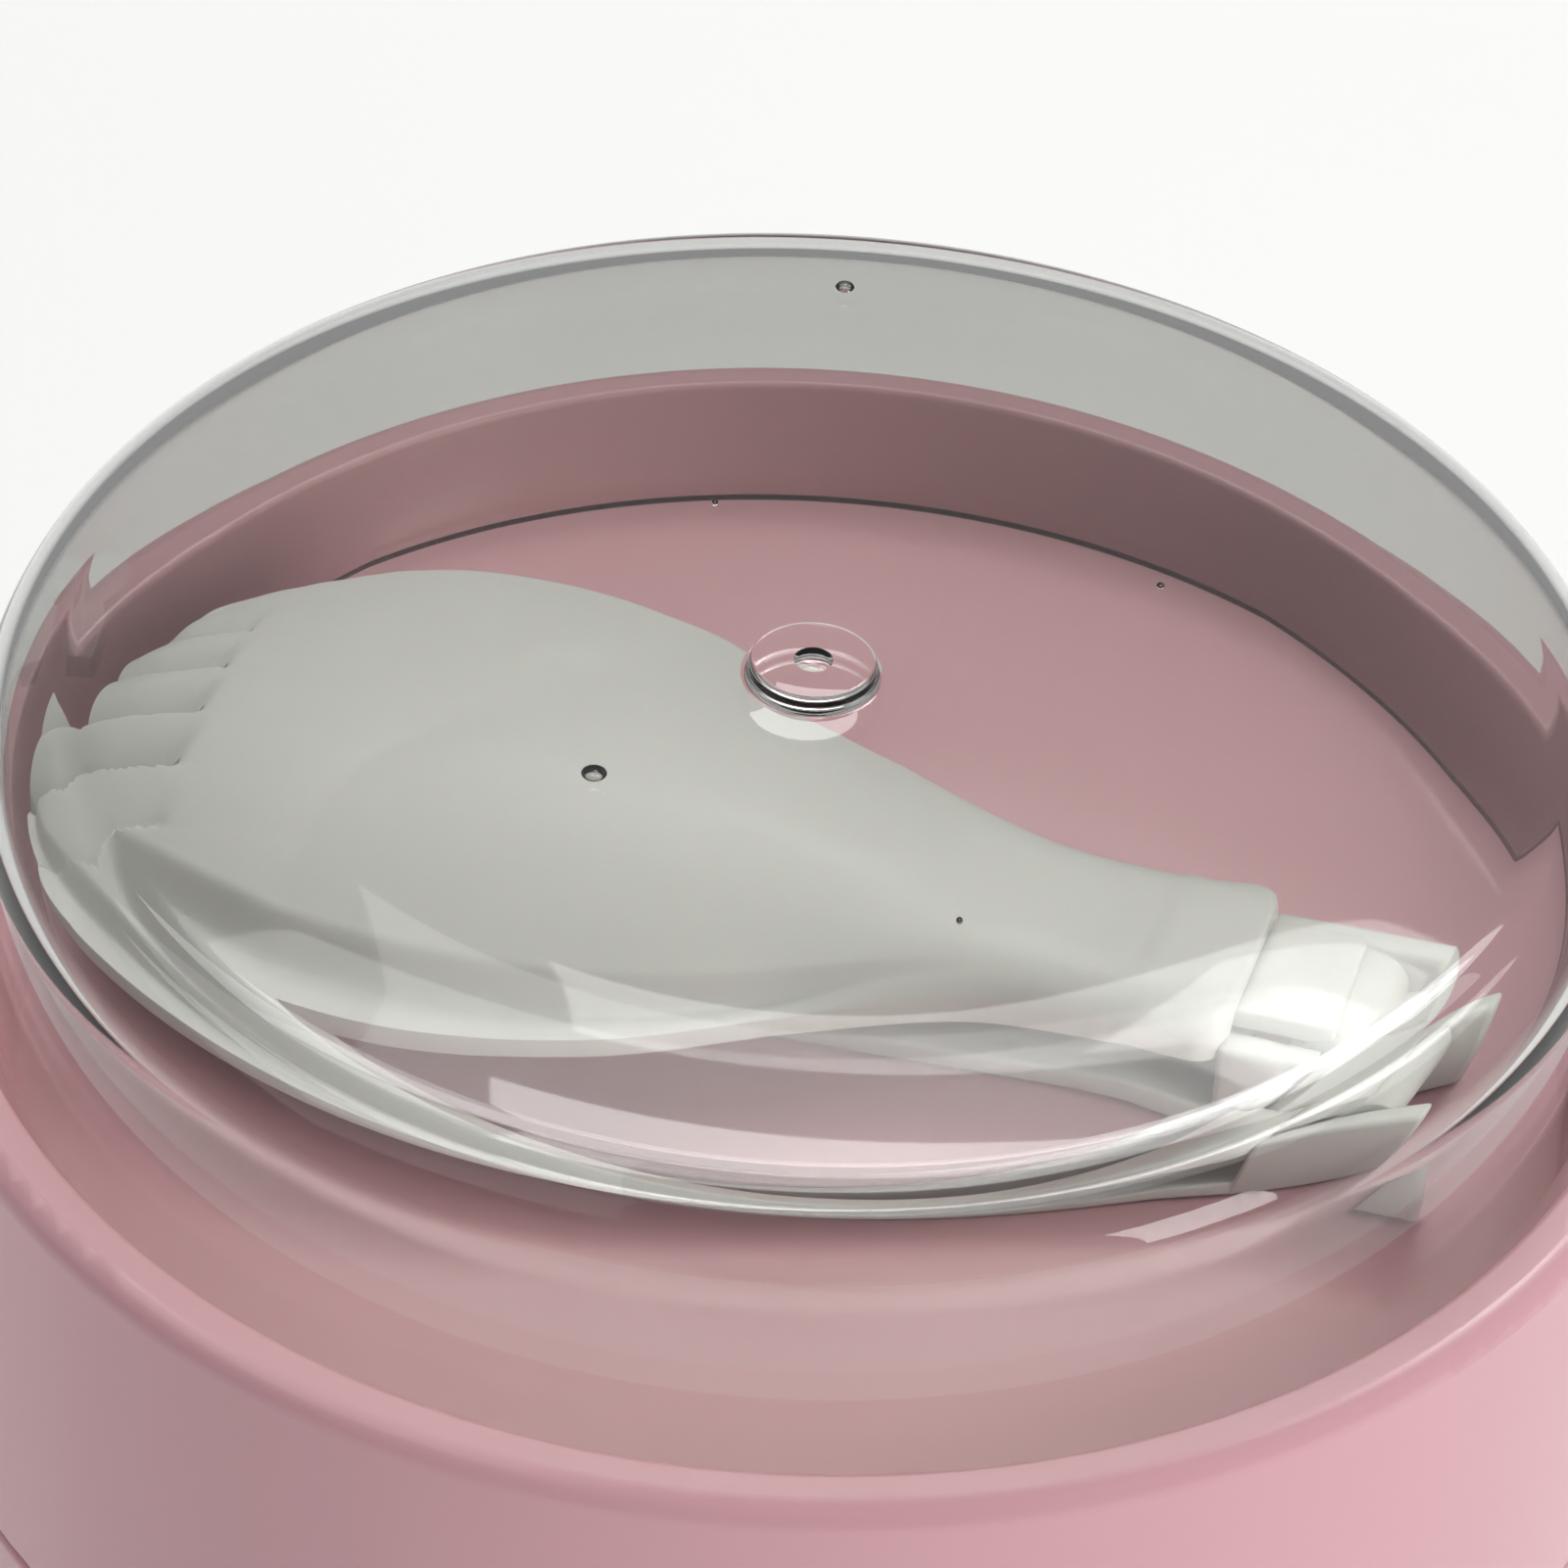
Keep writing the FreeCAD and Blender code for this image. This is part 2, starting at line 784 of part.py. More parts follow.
def gear_face(teeth, phase):
    """The outline of a spur gear, with one tooth centred at the phase angle in degrees."""
    module = float(dim.gear_module)
    pitch = module * teeth / 2
    base = pitch * math.cos(PRESSURE_ANGLE)
    tip = pitch + ADDENDUM * module
    root = pitch - DEDENDUM * module
    start = max(base, root)
    inv = math.tan(PRESSURE_ANGLE) - PRESSURE_ANGLE
    half_tooth = (math.pi * module / 2 - TOOTH_BACKLASH) / (2 * pitch)
    offset = half_tooth + inv
    radii = [start + (tip - start) * step / 4 for step in range(5)]
    right = [involute_point(base, radius, -1, offset) for radius in radii]
    left = [involute_point(base, radius, 1, offset) for radius in radii]
    foot = math.asin(left[0].y / left[0].Length)
    root_right = FreeCAD.Vector(root * math.cos(foot), -root * math.sin(foot), 0)
    root_left = FreeCAD.Vector(root * math.cos(foot), root * math.sin(foot), 0)
    step = 360 / teeth
    turn_on = FreeCAD.Rotation(FreeCAD.Vector(0, 0, 1), step)
    next_root = turn_on.multVec(root_right)
    half_gap = FreeCAD.Rotation(FreeCAD.Vector(0, 0, 1), step / 2)
    gap_middle = half_gap.multVec(FreeCAD.Vector(root, 0, 0))
    flank_in = Part.BSplineCurve()
    flank_in.interpolate(right)
    flank_out = Part.BSplineCurve()
    flank_out.interpolate(left[::-1])
    edges = [
        flank_in.toShape(),
        Part.Arc(right[-1], FreeCAD.Vector(tip, 0, 0), left[-1]).toShape(),
        flank_out.toShape(),
        Part.Arc(root_left, gap_middle, next_root).toShape(),
    ]
    if base > root:
        edges.insert(0, Part.makeLine(root_right, right[0]))
        edges.insert(-1, Part.makeLine(left[0], root_left))
    outline = []
    for index in range(teeth):
        for edge in edges:
            copy = edge.copy()
            copy.rotate(FreeCAD.Vector(), FreeCAD.Vector(0, 0, 1), phase + index * step)
            outline.append(copy)
    return Part.Face(Part.Wire(Part.__sortEdges__(outline)))


def gear_solid(teeth, phase, low):
    """A spur gear's toothed rim, as a solid disc."""
    disc = gear_face(teeth, phase).extrude(FreeCAD.Vector(0, 0, float(dim.gear_thick)))
    disc.translate(FreeCAD.Vector(0, 0, float(low)))
    return disc


def output_gear():
    """The large gear on the output shaft, thinned between its hub and its rim."""
    low = float(dim.output_gear_bottom)
    thick = float(dim.gear_thick)
    up = FreeCAD.Vector(0, 0, 1)
    gear = gear_solid(STAGE_TEETH[1], -90, low)
    gear = gear.cut(web_ring(low, thick))
    gear = gear.cut(Part.makeCylinder(float(dim.shaft_radius), thick, FreeCAD.Vector(0, 0, low), up))
    return shape_part("output_gear", gear)


def web_ring(low, thick):
    """The ring that is cut away to thin the web of a large gear that starts at low."""
    rim = float(dim.gear_module) * STAGE_TEETH[1] / 2 - float(dim.gear_rim_wall)
    hub = float(dim.hub_radius)
    base = FreeCAD.Vector(0, 0, low + thick * float(dim.gear_web_share))
    return Part.makeCylinder(rim, thick, base).cut(Part.makeCylinder(hub, thick, base))


def idler_gear():
    """The idler: a small pinion under a large wheel, in one moulding."""
    low = float(dim.output_gear_bottom)
    wheel_low = float(idler_gear_bottom)
    thick = float(dim.gear_thick)
    pinion = gear_solid(STAGE_TEETH[0], 90 + 180 / STAGE_TEETH[0], low)
    neck_radius = float(dim.gear_module) * STAGE_TEETH[0] / 2
    neck = Part.makeCylinder(neck_radius, wheel_low - low - thick, FreeCAD.Vector(0, 0, low + thick))
    wheel = gear_solid(STAGE_TEETH[1], float(dim.motor_direction), wheel_low)
    wheel = wheel.cut(web_ring(wheel_low, thick))
    bore = Part.makeCylinder(float(dim.idler_bore), 4 * thick, FreeCAD.Vector(0, 0, low))
    item = shape_part("idler_gear", wheel.fuse([neck, pinion]).cut(bore).removeSplitter())
    item.Placement = FreeCAD.Placement(FreeCAD.Vector(0, float(idler_y), 0), FreeCAD.Rotation())
    return item


def motor_pinion():
    """The small gear pressed on the motor's shaft."""
    teeth = STAGE_TEETH[0]
    phase = float(dim.motor_direction) + 180 + 180 / teeth
    gear = gear_solid(teeth, phase, idler_gear_bottom)
    low = FreeCAD.Vector(0, 0, float(idler_gear_bottom))
    bore = Part.makeCylinder(float(dim.motor_shaft_radius), float(dim.gear_thick), low)
    item = shape_part("motor_pinion", gear.cut(bore))
    place = FreeCAD.Vector(float(motor_x), float(motor_y), 0)
    item.Placement = FreeCAD.Placement(place, FreeCAD.Rotation())
    return item


def idler_pin():
    """The fixed pin that the idler turns on."""
    low = plug_floor_top - dim.idler_pin_sink
    pin = cylinder(dim.idler_pin_radius, plate_top - low, 0, idler_y, low)
    return keep(pin, "idler_pin")


def output_bush():
    """The plain bearing of the output shaft."""
    return lathe("output_bush", [
        (dim.shaft_radius + dim.running_gap, dim.bush_split),
        (dim.bush_radius, dim.bush_split),
        (dim.bush_radius, dim.bush_top),
        (dim.shaft_radius + dim.running_gap, dim.bush_top),
    ])


def shaft_seal():
    """The lip seal that keeps the mix out of the gear case."""
    return lathe("shaft_seal", [
        (dim.shaft_radius + dim.running_gap, dim.plug_bottom),
        (dim.bush_radius, dim.plug_bottom),
        (dim.bush_radius, dim.bush_split),
        (dim.shaft_radius + dim.running_gap, dim.bush_split),
    ])


def output_shaft():
    """The steel shaft from the gear plate down to the paddle."""
    step = dim.output_gear_bottom + dim.gear_thick
    return lathe("output_shaft", [
        (0, dim.shaft_bottom),
        (dim.shaft_radius, dim.shaft_bottom),
        (dim.shaft_radius, step),
        (dim.shaft_tip_radius, step),
        (dim.shaft_tip_radius, plate_top),
        (0, plate_top),
    ])


# ---------------------------------------------------------------- lid unit: electrics

def battery_cell():
    """One round rechargeable cell, lying behind the motor."""
    cell = cylinder(dim.cell_radius, dim.cell_length, -dim.cell_length / 2, dim.cell_centre_back,
                    dim.cell_centre_height, ALONG_X)
    return keep(cell, "battery_cell")


def battery_cradle():
    """The block with the hollow that the cell lies in."""
    block = box(-dim.cradle_length / 2, dim.cell_centre_back - dim.cradle_width / 2, plate_top,
                dim.cradle_length, dim.cradle_width, dim.cradle_height)
    hollow = cylinder(dim.cell_radius + dim.cell_gap, dim.cell_length, -dim.cell_length / 2,
                      dim.cell_centre_back, dim.cell_centre_height, ALONG_X)
    return keep(cut(block, hollow), "battery_cradle")


def circuit_board():
    """The upright control board behind the button."""
    half = dim.board_half_width
    front = -(dim.board_back + dim.board_wall)
    board = box(-half, front, dim.board_bottom, half * 2, dim.board_wall,
                dim.board_top - dim.board_bottom)
    chip_side = half * dim.chip_share
    chip = box(-half / 3, -dim.board_back, dim.board_bottom + half / 2, chip_side,
               dim.board_wall, chip_side)
    return keep(fuse(board, chip), "circuit_board")


def tact_switch():
    """The switch that the button works."""
    half = dim.switch_half
    face = -(dim.board_back + dim.board_wall + dim.switch_depth)
    case = box(-half, face, dim.button_height - half, half * 2, dim.switch_depth, half * 2)
    plunger = cylinder(dim.plunger_radius, dim.plunger_rise, 0, face - dim.plunger_rise,
                       dim.button_height, ALONG_Y)
    return keep(fuse(case, plunger), "tact_switch")


def charge_board():
    """The small board that carries the charging socket."""
    half = dim.charge_half_width
    low = dim.socket_bottom - dim.charge_wall
    back = dim.socket_mouth - dim.socket_overhang
    board = box(-half, dim.charge_front, low, half * 2, back - dim.charge_front, dim.charge_wall)
    return keep(board, "charge_board")


def usb_socket():
    """The charging socket, a thin metal shell round a tongue."""
    half = dim.socket_half_width
    wall = dim.socket_wall
    back = dim.socket_mouth - dim.socket_deep
    shell = box(-half, back, dim.socket_bottom, half * 2, dim.socket_deep, dim.socket_tall)
    hollow = box(wall - half, back + wall, dim.socket_bottom + wall, (half - wall) * 2,
                 dim.socket_deep, dim.socket_tall - wall * 2)
    tongue_half = half * dim.tongue_wide_share
    tongue_tall = dim.socket_tall * dim.tongue_tall_share
    tongue_low = dim.socket_bottom + (dim.socket_tall - tongue_tall) / 2
    tongue = box(-tongue_half, back, tongue_low, tongue_half * 2,
                 dim.socket_deep * dim.tongue_deep_share, tongue_tall)
    return keep(fuse(cut(shell, hollow), tongue), "usb_socket")


def indicator_ring():
    """The light ring round the button."""
    deep = dim.button_face - dim.lens_back
    ring = cylinder(dim.lens_radius, deep, 0, -dim.button_face, dim.button_height, ALONG_Y)
    hole = cylinder(dim.button_radius + dim.button_gap, deep, 0, -dim.button_face,
                    dim.button_height, ALONG_Y)
    return keep(cut(ring, hole), "indicator_ring")


def start_button():
    """The push button: a round key, a flange behind the light ring, and a stem."""
    item = body("start_button")
    flange_front = dim.lens_back - dim.cap_lip_gap / 3
    flange_back = flange_front - dim.button_flange_wall

    def disc(radius):
        return lambda sketch: circle(sketch, 0, dim.button_height, radius)

    key = dim.button_face - flange_front
    pad(item, "XZ_Plane", disc(dim.button_radius), flange_front, key)
    pad(item, "XZ_Plane", disc(dim.button_flange_radius), flange_back, dim.button_flange_wall)
    stem = flange_back - dim.button_stem_end
    pad(item, "XZ_Plane", disc(dim.button_stem_radius), dim.button_stem_end, stem)
    return item


# ---------------------------------------------------------------- cup

def outer_shell():
    """The cup's outer wall, a little narrower at the foot."""
    wall = dim.cup_wall
    item = lathe("outer_shell", [
        (dim.cup_foot_radius - wall, dim.cup_foot),
        (dim.cup_foot_radius, dim.cup_foot),
        (dim.cup_top_radius, dim.cup_top),
        (dim.cup_top_radius - wall, dim.cup_top),
    ])
    round_ring(item, dim.cup_foot_radius, dim.cup_foot, dim.cup_foot_round)
    round_ring(item, dim.cup_top_radius, dim.cup_top, dim.collar_foot_round)
    return item


def inner_liner():
    """The cup's lining: a wide mouth for the lid's plug above a well for the bowl."""
    wall = dim.liner_wall
    item = lathe("inner_liner", [
        (0, dim.liner_floor),
        (dim.liner_well + wall, dim.liner_floor),
        (dim.liner_well + wall, dim.liner_shelf - wall),
        (dim.liner_bore + wall, dim.liner_shelf - wall),
        (dim.liner_bore + wall, dim.cup_top - wall),
        (dim.liner_lip_radius, dim.cup_top - wall),
        (dim.liner_lip_radius, dim.cup_top),
        (dim.liner_bore, dim.cup_top),
        (dim.liner_bore, dim.liner_shelf),
        (dim.liner_well, dim.liner_shelf),
        (dim.liner_well, dim.liner_floor + wall),
        (0, dim.liner_floor + wall),
    ])

    def posts(sketch):
        for angle in BASE_SCREW_ANGLES:
            x, y = on_circle(dim.base_screw_circle, angle)
            circle(sketch, x, y, dim.pillar_radius)
            circle(sketch, x, y, dim.screw_shank_radius)

    base_top = dim.base_bottom + dim.base_wall
    pad(item, "XY_Plane", posts, base_top, dim.liner_floor - base_top)
    return item


def insulation_sleeve():
    """The foam between the outer wall and the liner."""
    return lathe("insulation_sleeve", [
        (dim.foam_inner, dim.foam_bottom),
        (dim.foam_foot_radius, dim.foam_bottom),
        (dim.foam_top_radius, dim.foam_top),
        (dim.foam_inner, dim.foam_top),
    ])


def base_cover():
    """The plate that closes the cup from below."""
    item = lathe("base_cover", [
        (0, dim.base_bottom),
        (dim.base_radius, dim.base_bottom),
        (dim.base_radius, dim.base_bottom + dim.base_wall),
        (0, dim.base_bottom + dim.base_wall),
    ])

    def holes(radius):
        def draw(sketch):
            for angle in BASE_SCREW_ANGLES:
                x, y = on_circle(dim.base_screw_circle, angle)
                circle(sketch, x, y, radius)
        return draw

    top = dim.base_bottom + dim.base_wall
    pad(item, "XY_Plane", holes(dim.screw_shank_radius), top, dim.base_wall, cut=True)
    head = dim.screw_head_height
    pad(item, "XY_Plane", holes(dim.screw_head_radius), dim.base_bottom, head, True, cut=True)
    return item


def base_screws():
    return screws("base_screws", dim.base_screw_circle, BASE_SCREW_ANGLES, dim.base_bottom, True)


def foot_ring():
    """The soft ring that the cup stands on."""
    item = lathe("foot_ring", [
        (dim.foot_inner, 0),
        (dim.foot_outer, 0),
        (dim.foot_outer, dim.base_bottom),
        (dim.foot_inner, dim.base_bottom),
    ])
    round_ring(item, dim.foot_outer, 0, dim.foot_round)
    round_ring(item, dim.foot_inner, 0, dim.foot_round)
    return item


# ---------------------------------------------------------------- freezer bowl

def bowl_inner():
    """The metal bowl that the ice cream freezes on."""
    flange_low = dim.bowl_flange_top - dim.bowl_flange_wall
    outer = dim.bowl_radius + dim.bowl_wall
    item = lathe("bowl_inner", [
        (0, dim.bowl_floor - dim.bowl_wall),
        (outer, dim.bowl_floor - dim.bowl_wall),
        (outer, flange_low),
        (dim.bowl_flange_radius, flange_low),
        (dim.bowl_flange_radius, dim.bowl_flange_top),
        (dim.bowl_radius, dim.bowl_flange_top),
        (dim.bowl_radius, dim.bowl_floor),
        (0, dim.bowl_floor),
    ])
    round_ring(item, dim.bowl_radius, dim.bowl_floor, dim.bowl_round)
    round_ring(item, outer, dim.bowl_floor - dim.bowl_wall, dim.bowl_round + dim.bowl_wall)
    return item


def bowl_jacket():
    """The outer wall of the freezer bowl, which holds the coolant gel."""
    flange_high = dim.bowl_flange_top - dim.bowl_flange_wall
    flange_low = flange_high - dim.jacket_flange_wall
    inner = dim.jacket_radius - dim.jacket_wall
    return lathe("bowl_jacket", [
        (dim.filler_radius, dim.jacket_bottom),
        (dim.jacket_radius, dim.jacket_bottom),
        (dim.jacket_radius, flange_low),
        (dim.bowl_flange_radius, flange_low),
        (dim.bowl_flange_radius, flange_high),
        (inner, flange_high),
        (inner, dim.jacket_bottom + dim.jacket_wall),
        (dim.filler_radius, dim.jacket_bottom + dim.jacket_wall),
    ])


def coolant_gel():
    """The gel that is frozen beforehand, sealed between the bowl and its jacket."""
    gap = dim.gel_gap
    low = dim.jacket_bottom + dim.jacket_wall + gap
    floor_top = dim.bowl_floor - dim.bowl_wall - gap
    inner = dim.bowl_radius + dim.bowl_wall + gap
    outer = dim.jacket_radius - dim.jacket_wall - gap
    hollow = dim.jacket_bottom + dim.filler_height + gap
    return lathe("coolant_gel", [
        (0, hollow),
        (dim.filler_radius + gap, hollow),
        (dim.filler_radius + gap, low),
        (outer, low),
        (outer, dim.gel_top),
        (inner, dim.gel_top),
        (inner, floor_top),
        (0, floor_top),
    ])


def filler_plug():
    """The plug in the hole that the gel is filled through."""
    return lathe("filler_plug", [
        (0, dim.jacket_bottom),
        (dim.filler_radius, dim.jacket_bottom),
        (dim.filler_radius, dim.jacket_bottom + dim.filler_height),
        (0, dim.jacket_bottom + dim.filler_height),
    ])


# ---------------------------------------------------------------- paddle

def paddle_outline(sketch):
    """The frame seen from the front: an outer frame and a window each side of a spine."""
    half = dim.paddle_half_width
    low = dim.paddle_bottom
    high = dim.paddle_top
    corner = dim.paddle_corner
    arm = dim.paddle_arm
    spine = dim.paddle_spine / 2
    middle = (low + high) / 2
    polygon(sketch, [
        (-half, low + corner),
        (corner - half, low),
        (half - corner, low),
        (half, low + corner),
        (half, high - corner),
        (spine, high),
        (-spine, high),
        (-half, high - corner),
    ])
    for side in (1, -1):
        window = [
            (spine, low + arm),
            (half - arm, low + arm + corner / 2),
            (half - arm, middle - arm / 2),
            (spine, middle + arm / 2),
        ]
        upper = [
            (spine, middle + arm * 3 / 2),
            (half - arm, middle + arm / 2),
            (half - arm, high - corner - arm),
            (spine, high - arm * 3 / 2),
        ]
        for shape in (window, upper):
            polygon(sketch, [(x * side, y) for x, y in shape])


def paddle_frame():
    """The flat stirring frame with a hub that slips on the output shaft."""
    item = body("paddle_frame")
    half = dim.paddle_thick / 2
    pad(item, "XZ_Plane", paddle_outline, -half, dim.paddle_thick)

    def hub(sketch):
        circle(sketch, 0, 0, dim.paddle_hub_radius)

    def bore(sketch):
        circle(sketch, 0, 0, dim.shaft_radius)

    hub_low = dim.paddle_top - dim.paddle_hub_height
    hub_high = dim.plug_bottom - dim.paddle_hub_gap
    pad(item, "XY_Plane", hub, hub_low, hub_high - hub_low)
    pad(item, "XY_Plane", bore, hub_high, hub_high - dim.shaft_bottom, cut=True)
    return item


def scraper_blades():
    """The soft strips on the paddle's two upright edges."""
    low = dim.paddle_bottom + dim.scraper_margin
    tall = dim.paddle_top - dim.paddle_bottom - dim.scraper_margin * 2
    half = dim.scraper_thick / 2
    strips = []
    for side in (1, -1):
        left = dim.paddle_half_width if side > 0 else -dim.paddle_half_width - dim.scraper_reach
        strips.append(box(left, -half, low, dim.scraper_reach, dim.scraper_thick, tall))
    return keep(gather(strips), "scraper_blades")


# ---------------------------------------------------------------- cap

def clear_cap():
    """The clear cap with a round shoulder, and a small nub at its centre."""
    radius = dim.cap_radius
    wall = dim.cap_wall
    low = deck_top + dim.cap_lip_gap
    item = lathe("clear_cap", [
        (radius - wall, low),
        (radius, low),
        (radius, dim.cap_top),
        (dim.nub_radius, dim.cap_top),
        (dim.nub_radius, dim.cap_top + dim.nub_rise),
        (dim.gate_radius, dim.cap_top + dim.nub_rise),
        (dim.gate_radius, dim.cap_top + dim.nub_rise - dim.gate_depth),
        (0, dim.cap_top + dim.nub_rise - dim.gate_depth),
        (0, dim.cap_top - wall),
        (radius - wall, dim.cap_top - wall),
    ])
    round_ring(item, radius, dim.cap_top, dim.cap_shoulder)
    round_ring(item, radius - wall, dim.cap_top - wall, dim.cap_shoulder - wall)
    round_ring(item, radius, low, dim.cap_lip_round)
    round_ring(item, dim.nub_radius, dim.cap_top + dim.nub_rise, dim.cap_lip_round)
    return item


# ---------------------------------------------------------------- spork

def spork_place(item):
    """Lay a piece drawn along +X from the tips where the spork lies on the deck."""
    turned = FreeCAD.Rotation(FreeCAD.Vector(0, 0, 1), float(dim.spork_turn))
    tip = FreeCAD.Vector(float(dim.spork_tip_left), float(dim.spork_tip_back), 0)
    item.Placement = FreeCAD.Placement(tip, turned).multiply(item.Placement)
    return item


def spork_section(along, half, crown):
    """An arched band across the spork, open side down."""
    rim = float(dim.spork_rim_height)
    wall = float(dim.spork_wall)
    inner = half - wall
    outer_arc = Part.Arc(
        FreeCAD.Vector(along, -half, rim),
        FreeCAD.Vector(along, 0, rim + crown),
        FreeCAD.Vector(along, half, rim),
    )
    inner_arc = Part.Arc(
        FreeCAD.Vector(along, inner, rim),
        FreeCAD.Vector(along, 0, rim + crown - wall),
        FreeCAD.Vector(along, -inner, rim),
    )
    return Part.Wire([
        outer_arc.toShape(),
        Part.makeLine(FreeCAD.Vector(along, half, rim), FreeCAD.Vector(along, inner, rim)),
        inner_arc.toShape(),
        Part.makeLine(FreeCAD.Vector(along, -inner, rim), FreeCAD.Vector(along, -half, rim)),
    ])


def bar_across(radius, half_length):
    """A round bar on the spork's hinge axis."""
    start = FreeCAD.Vector(float(dim.spork_hinge_along), -float(half_length),
                           float(dim.spork_hinge_height))
    return Part.makeCylinder(float(radius), 2 * float(half_length), start, FreeCAD.Vector(0, 1, 0))


def spork_bowl():
    """The upper half: an arched bowl with tines, a neck and the hinge's knuckle."""
    shell = Part.makeLoft([spork_section(*station) for station in SPORK_STATIONS], True)
    slot = float(dim.tine_slot)
    tall = 2 * SPORK_STATIONS[0][2] + SPORK_STATIONS[2][2]
    for index in TINE_SLOTS:
        across = index * float(dim.tine_pitch) - slot / 2
        corner = FreeCAD.Vector(-slot, across, float(dim.spork_rim_height) - slot)
        shell = shell.cut(Part.makeBox(float(dim.tine_length) + slot, slot, tall, corner))
    half = float(dim.spork_knuckle_half)
    neck = float(dim.spork_neck_end)
    wall = float(dim.spork_wall)
    reach = float(dim.spork_hinge_along) - neck
    crown = float(dim.spork_rim_height) + SPORK_STATIONS[-1][2]
    tongue_low = FreeCAD.Vector(neck - wall, -half, crown - 2 * wall)
    tongue = Part.makeBox(reach + wall, 2 * half, wall, tongue_low)
    knuckle = bar_across(dim.spork_knuckle_radius, half)
    shell = shell.fuse([tongue, knuckle])
    bore = bar_across(dim.spork_pin_radius + dim.spork_pin_gap, half + 1)
    return spork_place(shape_part("spork_bowl", shell.cut(bore).removeSplitter()))


def spork_handle():
    """The lower half: a flat handle that ends in the hinge's two ears."""
    item = body("spork_handle")
    low = spork_bottom
    start = dim.spork_handle_start
    half = dim.spork_handle_half
    ear = dim.spork_ear_start
    outer = dim.spork_ear_outer
    inner = dim.spork_ear_inner

    def blade(sketch):
        polygon(sketch, [
            (start, half / 3 - half),
            (start + half / 2, -half),
            (ear - half, -half),
            (ear, -outer),
            (ear, outer),
            (ear - half, half),
            (start + half / 2, half),
            (start, half - half / 3),
        ])

    def ears(sketch):
        for side in (1, -1):
            near = inner if side > 0 else -outer
            far = outer if side > 0 else -inner
            rectangle(sketch, ear, near, dim.spork_ear_end, far)

    def pin_holes(sketch):
        circle(sketch, dim.spork_hinge_along, dim.spork_hinge_height, dim.spork_pin_radius)

    pad(item, "XY_Plane", blade, low, dim.spork_handle_wall)
    pad(item, "XY_Plane", ears, low, dim.spork_ear_top - low)
    pad(item, "XZ_Plane", pin_holes, -outer - 1, outer * 2 + 2, True, cut=True)
    return spork_place(item)


def spork_pin():
    """The pin that joins the spork's two halves."""
    return spork_place(shape_part("spork_pin", bar_across(dim.spork_pin_radius,
                                                          dim.spork_ear_outer)))


# ---------------------------------------------------------------- build and write

BUILDERS = (
    outer_shell, inner_liner, insulation_sleeve, base_cover, base_screws, foot_ring,
    bowl_inner, bowl_jacket, coolant_gel, filler_plug,
    collar_housing, bottom_cover, lid_seal, cover_screws, gear_plate, plate_screws,
    motor_can, motor_magnets, motor_end_cap, battery_cell, battery_cradle, circuit_board,
    tact_switch, charge_board, usb_socket, indicator_ring, idler_pin, output_bush, shaft_seal,
    start_button, output_shaft, output_gear, paddle_frame, scraper_blades, idler_gear,
    rotor_core, motor_shaft, motor_pinion, clear_cap, spork_handle, spork_pin, spork_bowl,
)


def check_document():
    """Stop on any object that failed, before anything is written."""
    doc.recompute()
    for item in doc.Objects:
        if "Invalid" in item.State or "Error" in item.State:
            raise RuntimeError(f"{item.Label} failed: {item.State}")
    for item in parts:
        if item.Shape.isNull() or not item.Shape.isValid():
            raise RuntimeError(f"{item.Label} has no valid shape")


def main():
    for build in BUILDERS:
        build()
    check_document()
    os.makedirs("parts", exist_ok=True)
    for item in parts:
        item.Shape.exportStep(f"parts/{item.Label}.step")
        print(f"{item.Label}: {item.Shape.Volume:.1f} mm3")


main()
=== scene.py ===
import json
import math

import bmesh
import bpy
from mathutils import Matrix, Vector


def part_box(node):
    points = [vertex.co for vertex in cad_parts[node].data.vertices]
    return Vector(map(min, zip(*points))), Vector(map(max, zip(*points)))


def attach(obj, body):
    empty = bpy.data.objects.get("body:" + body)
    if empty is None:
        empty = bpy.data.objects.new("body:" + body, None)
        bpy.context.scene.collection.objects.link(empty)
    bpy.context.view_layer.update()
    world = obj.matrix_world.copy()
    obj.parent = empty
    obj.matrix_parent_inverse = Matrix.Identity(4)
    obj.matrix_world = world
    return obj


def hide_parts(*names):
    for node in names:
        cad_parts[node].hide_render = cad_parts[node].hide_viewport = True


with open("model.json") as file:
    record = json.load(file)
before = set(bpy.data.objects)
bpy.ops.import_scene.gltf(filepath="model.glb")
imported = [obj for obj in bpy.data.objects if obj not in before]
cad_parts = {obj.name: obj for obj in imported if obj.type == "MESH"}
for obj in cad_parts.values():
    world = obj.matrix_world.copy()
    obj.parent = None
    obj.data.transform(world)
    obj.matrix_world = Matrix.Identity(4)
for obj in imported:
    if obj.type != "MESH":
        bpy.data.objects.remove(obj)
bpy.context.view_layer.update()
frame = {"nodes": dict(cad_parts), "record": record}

# A single-serve ice cream maker: pink cup and collar, a clear cap over a folding spork.
# Lengths are in metres. Heights and radii that the CAD model settles are read from it.

MM = 0.001
LATHE_STEPS = 288

# Camera: a long lens above the front, tilted a little about its own axis.
LENS = 181.5
SENSOR_WIDTH = 36.0
CAMERA_DISTANCE = 0.4678
CAMERA_ELEVATION = math.radians(39.55)
CAMERA_YAW = math.radians(-0.16)
CAMERA_PITCH = math.radians(0.71)
CAMERA_ROLL = math.radians(3.23)

